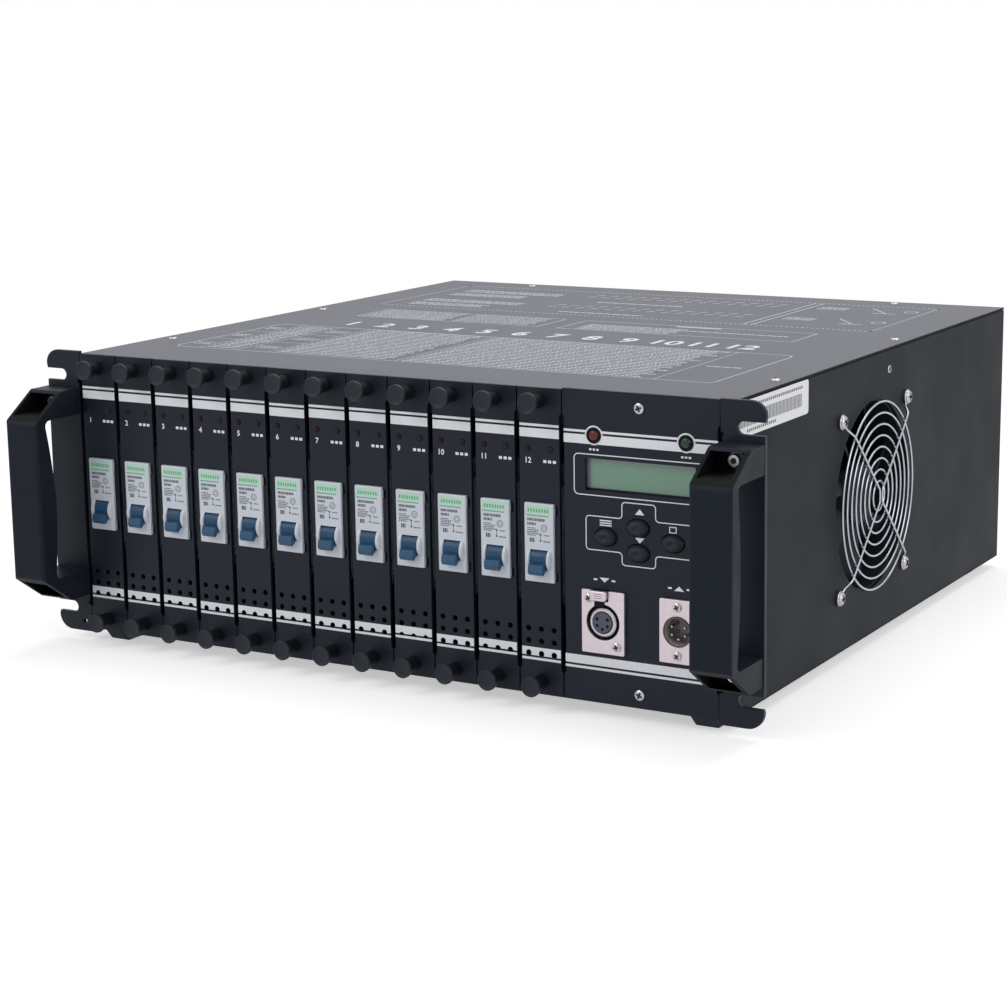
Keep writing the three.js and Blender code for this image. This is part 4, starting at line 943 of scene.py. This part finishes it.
def add_outlet():
    """Plate with a notch for the latch, shell in an opening painted near-black as shade, keyed insert with
    five holes.
    """
    place = at(CONTROL_X + OUTLET_X, FRONT, MIDDLE + CONNECTOR_Z, FRONTAL)
    piece = Piece("dmx_out_body", place)
    outline = [(-13, -17.7), (13, -17.7), (13, 17.7), (3.3, 17.7), (3.3, 11.8), (-7.3, 11.8), (-7.3, 17.7),
               (-13, 17.7)]
    outline = rounded(outline, [0.8, 0.8, 0.8, 0.5, 0.3, 0.3, 0.5, 0.8], 3)
    plate = prism(outline, [circle(0, 0, 10.1, 48)], 2.0, 0.25)
    back = lathe([(0, -24), (10.7, -24), (10.7, 0.2), (8.0, 0.2), (8.0, -5.6), (0, -5.6)], 48)
    shell = lathe([(5.9, -5.6), (5.9, 1.9), (6.4, 2.5), (7.4, 2.6), (8.15, 1.9), (8.15, -5.6),
                   (5.9, -5.6)], 48)
    core = prism(circle(0, 0, 5.8, 48), [circle(x, z, 0.9, 16) for x, z in pin_places(3.7)], 8.0, 0.3)
    piece.add(plate, "nickel", at(0, 0, 0.3))
    # The opening round the shell and the disc behind the insert are near-black: painted shade inside the
    # connector.
    piece.add(back, "gap_shade")
    piece.add(shell, "bright_steel")
    piece.add(core, "insert_grey", at(0, 0, REACH - 8.2))
    piece.add(disc(5.8, 0, 0.3, 32), "gap_shade", at(0, 0, REACH - 8.6))
    # A dark block under the latch: painted shade beneath the tab.
    piece.add(box(-5.2, 1.2, 8.6, 12.2, 0.5, 2.6, 0.3), "dark_plastic_and_shade")
    piece.screw(small_screw, at(-8.5, 13.0, PLATE_FACE), 0.5)
    piece.screw(small_screw, at(8.5, -13.0, PLATE_FACE), 0.2)
    piece.make("case", "connector_metal", "dmx_out_socket")

    piece = Piece("dmx_out_tab", place)
    tab = rounded([(-7, 12.1), (3, 12.1), (3, 17.7), (-7, 17.7)], [2.0, 2.0, 0.5, 0.5], 5)
    piece.add(prism(tab, depth=2.7, bevel=0.6), "nickel", at(0, 0, 1.8))
    for k in range(3):
        z = 13.9 + 1.1 * k
        piece.add(box(-4.6, 0.6, z - 0.15, z + 0.15, 4.35, 4.5, 0.03), "bright_steel")
    piece.make("outlet_latch", "connector_metal", "dmx_out_latch")


def add_inlet():
    """Plate, dark cup with a key groove, five pins."""
    piece = Piece("dmx_in_body", at(CONTROL_X + INLET_X, FRONT, MIDDLE + CONNECTOR_Z, FRONTAL))
    plate = prism(rectangle(-10.75, 10.75, -17.7, 17.7, 0.8), [circle(0, 0, 8.4, 40)], 2.0, 0.25)
    piece.add(plate, "nickel", at(0, 0, 0.3))
    cup = lathe([(0, -7.6), (7.4, -7.6), (7.4, REACH - 0.5), (7.6, REACH), (8.0, REACH), (8.3, REACH - 0.5),
                 (8.3, -0.2), (10.2, -0.2), (10.2, -24), (0, -24)], 48)
    # Inside the cup its colour is much lighter: painted light lifting the shade in the cup.
    piece.add(cup, "cup_brown_and_recess_shade", UPWARD, "cup_inside_painted_light", lambda spot: math.hypot(spot.x, spot.y) < 7.45)
    rim = lathe([(7.5, REACH - 0.2), (7.65, REACH + 0.01), (7.95, REACH + 0.01), (8.2, REACH - 0.25)], 48)
    piece.add(rim, "dark_steel")
    piece.add(box(-1.2, 1.2, 6.4, 7.5, -7.6, 2.6, 0.2), "cup_brown_and_recess_shade")
    pin = lathe([(0, -7.8), (0.9, -7.8), (0.9, 0.4), (0.7, 1.1), (0.3, 1.4), (0, 1.4)], 20)
    for x, z in pin_places(4.5):
        piece.add(pin, "bright_steel", at(x, z, 0))
    piece.screw(small_screw, at(0, 13.5, PLATE_FACE), 0.4)
    piece.screw(small_screw, at(0, -13.5, PLATE_FACE), 0.7)
    piece.make("case", "connector_metal", "dmx_in_plug")


# Case
def add_case():
    y0, y1 = FRONT + CASE_FRONT, FRONT + CASE_DEPTH
    piece = Piece("case_shell")
    piece.add(box(-CASE_HALF, CASE_HALF, y0, y1, CASE_BOTTOM, CASE_BOTTOM + SHEET, 0.6, 3), "case_paint")
    wall = rectangle(y0, y1, CASE_BOTTOM, RAIL_TOP, 0.5, 2)
    holes = [circle(FRONT + FAN_Y, FAN_Z, 57.8, 96), circle(FRONT + EYELET_Y, EYELET_Z, 1.7, 16)]
    piece.add(prism(wall, holes, SHEET, 0.45, steps=3), "case_paint", at(INNER_HALF, 0, 0, RIGHTWARD))
    slots = [circle(-FRONT - EYELET_Y, EYELET_Z, 1.7, 16)]
    for i in range(8):
        y = FRONT + FAN_Y + (i - 3.5) * 14.0
        slots.append(rectangle(-y - 3.0, -y + 3.0, FAN_Z - 55, FAN_Z + 55, 2.8))
    left = [(-y, z) for y, z in wall]
    piece.add(prism(left, slots, SHEET, 0.45, steps=3), "case_paint", at(-INNER_HALF, 0, 0, LEFTWARD))
    eyelet = lathe([(1.6, -1.0), (1.6, 0.3), (1.8, 0.5), (2.1, 0.4), (2.4, 0.0), (1.6, -1.0)], 24)
    for side, turn in ((-1, LEFTWARD), (1, RIGHTWARD)):
        piece.add(eyelet, "aluminium", at(side * CASE_HALF, FRONT + EYELET_Y, EYELET_Z, turn))
    add_wall_label(piece)
    piece.make("case", "case_paint", "chassis")


def add_wall_label(piece):
    """A plain paper strip under the lid's edge, with even bars and dashes and nothing to read."""
    place = at(CASE_HALF, FRONT, 0, RIGHTWARD)
    piece.add(prism(rectangle(13, 107.3, 159.3, 178.7, 2.0), depth=0.12, flat_area=0), "label_paper", place)
    for left, pitch, long, low, high, count in (
            (14.5, 1.9, 1.1, 164.6, 172.0, 44), (24, 2.6, 1.7, 174.6, 176.2, 29),
            (24, 2.6, 1.7, 161.4, 163.0, 15)):
        marks = [patch(left + pitch * k, left + long + pitch * k, low, high) for k in range(count)]
        piece.add_all(marks, "label_grey", place @ at(0, 0, 0.12))


def strip(x0, y0, x1, y1, width):
    """A printed straight line on the lid."""
    a, b = Vector((x0, y0)), Vector((x1, y1))
    along = (b - a).normalized()
    side = Vector((-along.y, along.x)) * width / 2
    quad = [a - side, b - side, b + side, a + side]
    return new_mesh([(p.x, p.y, INK) for p in quad], [(0, 1, 2, 3)])


def tiles(marks):
    """Flat oblong marks, each given by its left, right, front and rear edge."""
    verts, faces = [], []
    for x0, x1, y0, y1 in marks:
        faces.append([len(verts) + k for k in range(4)])
        verts += [(x0, y0, INK), (x1, y0, INK), (x1, y1, INK), (x0, y1, INK)]
    return new_mesh(verts, faces)


def dashes(x0, x1, y0, y1, pitch, tall, longest=2.6, gap=0.7):
    """Rows of short dashes that read as small print from a step away, with no letters."""
    marks = []
    y = y0 + pitch / 2
    while y < y1:
        x = x0
        end = x1 - (x1 - x0) * random.uniform(0.0, 0.06)
        while x < end:
            stop = min(x + random.uniform(0.7, longest), end)
            marks.append((x, stop, y - tall / 2, y + tall / 2))
            x = stop + gap
        y += pitch
    return tiles(marks)


def dotted(x0, y0, x1, y1):
    """A row of square dots from one place to another."""
    pitch, half = 3.6, 0.8
    count = int(max(abs(x1 - x0), abs(y1 - y0)) / pitch)
    places = [(x0 + (x1 - x0) * k / count, y0 + (y1 - y0) * k / count) for k in range(count + 1)]
    return tiles([(x - half, x + half, y - half, y + half) for x, y in places])


def lid_print():
    """Frames, lines and dashes of the lid: the front frame, the middle ones, and the dotted rear one."""
    lines = [outline_print(rectangle(*corners), width) for *corners, width in (
        (-187, 183, 58, 174, 6.0, 0.7), (-165, -24, 231, 272, 1.0, 0.7), (-8, 157, 229, 271, 1.0, 0.7))]
    lines += [strip(x, 58, x, 174, 0.6) for x in (-168, -139, -116, -24, 147)]
    lines += [strip(-187, y, -116, y, 0.6) for y in (99, 137)]
    lines.append(patch(60, 92, 265.6, 268.6))
    corners = ((-188, 295), (183, 295), (183, 420), (-188, 420))
    lines += [dotted(*a, *b) for a, b in zip(corners, corners[1:] + corners[:1])]
    lines += [strip(x, 296, x, 419, 1.0) for x in (94, 100)]
    rows = [(-165, -142, 62, 172, 5.4, 2.3, 3.5)]
    for mid in (78, 118, 155):
        rows += [(x0, x1, mid - 7, mid + 6, 5.4, 2.3, 3.0) for x0, x1 in ((-184, -171), (-136, -119))]
    rows += [(-113, -29, 61, 172, 5.4, 2.6), (-21, 142, 60, 172, 5.4, 2.6), (153, 176, 113, 118, 4.8, 2.2, 5),
             (-162, -96, 232, 271, 5.2, 2.7), (-92, -30, 234, 271, 5.2, 2.4), (3, 75, 231, 259, 5.2, 2.7),
             (75, 147, 247, 253, 5.2, 2.4, 4)]
    for y in (308, 365):
        rows += [(-50, 17, y - 2, y + 2, 4, 2.8, 9, 0.8), (-172, -110, y - 3, y + 12, 5, 2.4, 6),
                 (-172, -90, y + 18, y + 34, 5, 2.4, 6)]
    for y in (335, 395):
        rows += [(106, 128, y - 6, y + 8, 4.6, 2.2, 5), (150, 166, y - 14, y - 9, 4.6, 2.0, 4)]
        for x in range(-70, 84, 11):
            lines += [strip(x, y - 6, x + 4, y - 1, 1.4), strip(x + 2, y + 5, x + 6, y + 10, 1.4)]
        lines += [strip(141, y + 12, 158, y - 10, 1.0), outline_print(circle(172, y + 2, 4.5, 20), 0.9)]
    return lines + [dashes(*row) for row in rows]


def add_lid():
    piece = Piece("lid", at(0, FRONT, 0))
    # The lid's top takes a lighter copy of the case paint, painted sheen.
    cover = box(-CASE_HALF, CASE_HALF, CASE_FRONT, CASE_DEPTH, LID_SEAT, CASE_TOP, 0.35)
    # Its side edges take the near-black pocket paint: painted shade along the seam above the walls.
    piece.add(cover, "lid_paint_painted_sheen", UPWARD, "pocket_and_edge_shade", lambda spot: abs(spot.x) > CASE_HALF - 0.2)
    for x, y in ((-208.5, 84), (-207, 252), (210.8, 81.5), (210.8, 264.5), (-142.5, 436), (144.5, 438)):
        piece.screw(lid_screw, at(x, y, CASE_TOP), x + y)
    piece.add_all(lid_print(), "print_grey", at(0, 0, CASE_TOP))
    for k in range(CHANNELS):
        piece.add(label(str(k + 1), 23, 0.45), "print_white", at(-144 + 25.7 * k, 195, CASE_TOP))
    piece.make("case", "case_paint", "top_cover")


def add_rear():
    piece = Piece("rear_panel_body", at(0, FRONT + CASE_DEPTH, 0))
    x, z = 160.0, 57.2
    panel = prism(rectangle(-217.7, 217.7, 9.0, 177.2, 0.6), [circle(-x, z, 9.4, 40)], SHEET, 0.35)
    piece.add(panel, "case_paint", at(0, -SHEET, 0, REARWARD))
    nut = prism(circle(0, 0, 14.9, 6), [circle(0, 0, 9.2, 36)], 5.0, 0.6)
    collar = lathe([(9.0, 0), (12.4, 0), (12.4, 8.5), (11.2, 11.6), (10.6, 12.0), (9.4, 12.0), (9.0, 11.4),
                    (9.0, 0)], 40)
    seal = lathe([(8.7, -1.5), (9.2, -1.5), (9.2, 10.8), (8.7, 10.2), (8.7, -1.5)], 36)
    for mesh, surface in ((nut, "black_plastic"), (collar, "black_plastic"), (seal, "foot_rubber")):
        piece.add(mesh, surface, at(x, 0, z, REARWARD))
    for x in (-205, -70, 70, 205):
        for z in (16, 168):
            piece.screw(panel_screw, at(x, 0, z, REARWARD), x)
    piece.make("case", "case_paint", "rear_panel")


def add_terminals():
    """A base strip between ribs, with a screw pair for each channel."""
    left, pitch, rear = -153.2, 22, 13.3
    piece = Piece("output_terminals_body", at(left, FRONT + CASE_DEPTH, 117.2))
    piece.add(box(0, CHANNELS * pitch + 2.4, 0.3, rear - 6, -15, 15, 0.5), "black_plastic")
    screw = cross_screw(3.4, 2.0)
    for k in range(CHANNELS + 1):
        piece.add(box(pitch * k, pitch * k + 2.4, 0.3, rear, -15, 15, 0.5), "black_plastic")
    for k in range(CHANNELS):
        x = pitch * k + 12.2
        for z in (-8, 8):
            piece.add(box(x - 5.5, x + 5.5, rear - 6.2, rear - 4.8, z - 4.5, z + 4.5, 0.3), "brass")
            piece.screw(screw, at(x, rear - 4.8, z, REARWARD), k + z)
        piece.add(label(str(k + 1), 6), "print_white", at(x, 0, 21, REARWARD))
    piece.make("case", "black_plastic", "output_terminals")


def add_feet():
    """Square rubber blocks that narrow towards the floor, each with its screw in a recess."""
    screw = cross_screw(2.8, 1.4)
    block = box(-10, 10, -10, 10, 0, 6.9, 0)
    for vertex in block.vertices:
        if vertex.co.z < 3:
            vertex.co.xy *= 0.7
    block = bevelled(boolean(block, disc(3.6, -1, 3.4, 32)), 0.7, 40)
    for end, y in (("front", 18.5), ("rear", CASE_DEPTH - 30)):
        for side, x in (("left", -203), ("right", 203)):
            piece = Piece(f"foot_{end}_{side}_body", at(x, FRONT + y, 0))
            piece.add(block, "foot_rubber")
            piece.screw(screw, at(0, 0, 3.4, DOWNWARD))
            piece.make("case", "foot_rubber", f"foot_{end}_{side}")


# Fan: frame, rotor and wire grille
def add_fan():
    out = at(INNER_HALF - 0.3, FRONT + FAN_Y, FAN_Z, RIGHTWARD)
    corners = [(x, z) for x in (-FAN_SCREW, FAN_SCREW) for z in (-FAN_SCREW, FAN_SCREW)]
    piece = Piece("fan_frame_body", out)
    bore = circle(0, 0, 57, 96)
    holes = [bore, *[circle(x, z, 2.2, 16) for x, z in corners]]
    for low, high in ((-25, -21), (-4, 0)):
        flange = prism(rectangle(-60, 60, -60, 60, 5), holes, high - low, 0.4)
        piece.add(flange, "black_plastic", at(0, 0, low))
    piece.add(prism(circle(0, 0, 58.6, 96), [bore], 18, 0.2), "black_plastic", at(0, 0, -21.5))
    piece.add(lathe([(0, -25), (18, -25), (19, -24), (19, -22.3), (0, -22.3)], 48), "black_plastic")
    for k in range(4):
        piece.add(box(17, 57.4, -2.5, 2.5, -25, -22, 0.4), "black_plastic", spun(math.pi / 2 * k))
    piece.make("case", "black_plastic", "fan_housing")

    piece = Piece("fan_rotor_body", out)
    rotor = lathe([(0, -21.3), (18.6, -21.3), (19, -20.9), (19, -6.6), (18.2, -5.6), (17, -5.4),
                   (0, -5.4)], 56)
    piece.add(rotor, "black_plastic")
    piece.add(disc(13.5, 0, 0.06, 40), "handle_paint", at(0, 0, -5.4))
    blade = fan_blade()
    for k in range(7):
        piece.add(blade, "black_plastic", spun(2 * math.pi * k / 7))
    piece.make("rotor", "black_plastic", "fan_rotor")

    piece = Piece("fan_grille_body", at(CASE_HALF, FRONT + FAN_Y, FAN_Z, RIGHTWARD))
    for radius in (57.0, 50.1, 43.3, 36.5, 29.6, 22.7, 15.9, 9.0):
        piece.add(ring(radius, 3.8, 96, WIRE, 10), "chrome_wire")
    for side in (-1, 1):
        piece.add(sweep(cross_wire(side), WIRE, 10), "chrome_wire")
    head = cross_screw(4.1, 2.3)
    for x, z in corners:
        piece.add(disc(4.3, 0.3, 1.1, 32), "bright_steel", at(x, z, 0))
        piece.screw(head, at(x, z, 1.4), (x + 2 * z) / FAN_SCREW)
        piece.add(ring(4.0, 1.3, 24, WIRE, 8), "chrome_wire", at(x, z, 0))
    piece.make("case", "chrome_wire", "fan_grille")


def cross_wire(side):
    """A bent wire of the grille: from a screw over the rings to near the middle and out to the next screw."""
    gap, reach, top = 1.8, 43.8, 5.4
    anchors = [(FAN_SCREW - 2.2, FAN_SCREW - 2.2, 1.3), (FAN_SCREW - 5.0, FAN_SCREW - 5.0, 1.8),
               (reach + 1.5, reach + 0.5, 4.6), (reach - 1.0, reach - 1.0, top), (gap + 3.6, 6.8, top),
               (gap + 0.3, 4.2, top), (gap, 0.0, top)]
    upper = [Vector((side * y, z, w)) for y, z, w in anchors]
    points = upper + [Vector((p.x, -p.y, p.z)) for p in reversed(upper[:-1])]
    smooth = [a.lerp(b, k / 4) for a, b in zip(points, points[1:]) for k in range(4)] + [points[-1]]
    for _ in range(2):
        inner = [(a + b * 2 + c) / 4 for a, b, c in zip(smooth, smooth[1:], smooth[2:])]
        smooth = [smooth[0], *inner, smooth[-1]]
    return smooth


def fan_blade():
    """One twisted and cambered blade, thinner towards its edges."""
    verts, faces = [], []
    rows, columns, thick = 10, 8, 0.8
    for layer in (-1, 1):
        for i in range(rows + 1):
            s = i / rows
            radius = 18.0 + s * 36.6
            pitch = math.radians(48 - 20 * s)
            chord = 8.2 + 2.6 * s
            lean = 0.30 * s
            for j in range(columns + 1):
                c = 2 * j / columns - 1
                camber = 1.5 * (1 - c * c)
                across = c * chord * math.cos(pitch) - camber * math.sin(pitch)
                along = c * chord * math.sin(pitch) + camber * math.cos(pitch)
                angle = lean + across / radius
                depth = max(-20.6, min(-6.4, -13.4 + along * 0.82)) + layer * thick * (1 - 0.5 * abs(c))
                verts.append((radius * math.cos(angle), radius * math.sin(angle), depth))
    width = columns + 1
    size = (rows + 1) * width
    for i in range(rows):
        for j in range(columns):
            a = i * width + j
            quad = [a, a + 1, a + width + 1, a + width]
            faces.append(quad)
            faces.append([q + size for q in reversed(quad)])
    edges = ((0, width, rows), (columns, width, rows), (0, 1, columns), (rows * width, 1, columns))
    for first, step, count in edges:
        for a in [first + step * i for i in range(count)]:
            faces.append([a, a + step, a + step + size, a + size])
    return settle(new_mesh(verts, faces), ROUND, 50)


def bus_material():
    """The bus board: green behind, pale sockets in front."""
    made = material("bus_board", SURFACES["board_green"][0], 0.42, 0.18, 5, 1.0, 0.25)
    tree, socket, green, split = colour_and_place(made)
    edge = (FRONT + SOCKET_FRONT) * MM
    ahead = node(tree, "Math", {0: split["Y"], 1: edge}, operation="LESS_THAN")["Value"]
    feed(tree, socket, mixed(tree, ahead, green, linear(SURFACES["socket_beige"][0])))
    return made


def dress_backplane():
    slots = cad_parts["backplane"].data.materials
    slots.clear()
    slots.append(bus_material())


# Floor, light and background
def by_sight(tree, unseen, seen):
    """The second shader for the rays of the camera, of gloss and of glass, the first for all others."""
    rays = node(tree, "LightPath")
    sight = rays["Is Camera Ray"]
    for name in ("Is Glossy Ray", "Is Transmission Ray"):
        sight = node(tree, "Math", {0: sight, 1: rays[name]}, operation="MAXIMUM")["Value"]
    return node(tree, "MixShader", {"Fac": sight, 1: unseen, 2: seen})["Shader"]


def add_floor():
    """White near the object by some glow of its own, and plain white further out."""
    far, glow_power, clear, plain = 12.0, 0.5, 0.45, 1.1
    mesh = new_mesh([(-far, -far, 0), (far, -far, 0), (far, far, 0), (-far, far, 0)], [(0, 1, 2, 3)], "floor")
    floor = new_object("floor", mesh)
    surface, tree, shader = new_material("floor_white")
    looks = {"Base Color": (0.82, 0.82, 0.82, 1), "Roughness": 0.9, "Specular IOR Level": 0.1}
    for name, value in looks.items():
        shader.inputs[name].default_value = value
    lit = shader.outputs["BSDF"]
    glow = node(tree, "Emission", {"Strength": glow_power})["Emission"]
    near = node(tree, "AddShader", {0: lit, 1: glow})["Shader"]
    place = node(tree, "TexCoord")["Object"]
    reach = node(tree, "VectorMath", {0: place}, operation="LENGTH")["Value"]
    fade = ramp(tree, reach, clear, plain, kind="SMOOTHSTEP")
    both = node(tree, "MixShader", {"Fac": fade, 1: near, 2: node(tree, "Emission")["Emission"]})["Shader"]
    feed(tree, tree.nodes["Material Output"].inputs["Surface"], by_sight(tree, lit, both))
    mesh.materials.append(surface)


def add_world():
    world = bpy.context.scene.world or bpy.data.worlds.new("world")
    bpy.context.scene.world = world
    world.use_nodes = True
    tree = world.node_tree
    tree.nodes.clear()
    soft, white = [node(tree, "Background", {"Color": (1, 1, 1, 1), "Strength": strength})["Background"]
                   for strength in (0.35, 1.0)]
    node(tree, "OutputWorld", {"Surface": by_sight(tree, soft, white)})


def add_lights():
    for name, place, target, size, power in (
            ("key", (-1.6, -2.4, 2.2), (0, 0, 0.1), 1.8, 34),
            ("side", (2.6, -0.6, 1.4), (0.1, 0, 0.1), 1.6, 18),
            ("top", (0.2, 0.9, 2.6), (0, 0, 0.1), 1.8, 24)):
        data = tuned(bpy.data.lights.new(name, "AREA"), shape="SQUARE", size=size, energy=power)
        lamp = new_object(name, data)
        lamp.location = place
        lamp.rotation_euler = (Vector(target) - Vector(place)).to_track_quat("-Z", "Y").to_euler()


for build in (add_modules, add_frame, add_handles, add_control_panel, add_keys, add_control_board,
              add_outlet, add_inlet, add_case, add_lid, add_rear, add_terminals, add_feet, add_fan,
              dress_backplane, add_floor, add_world, add_lights):
    build()
bpy.context.scene.view_settings.view_transform = "Standard"
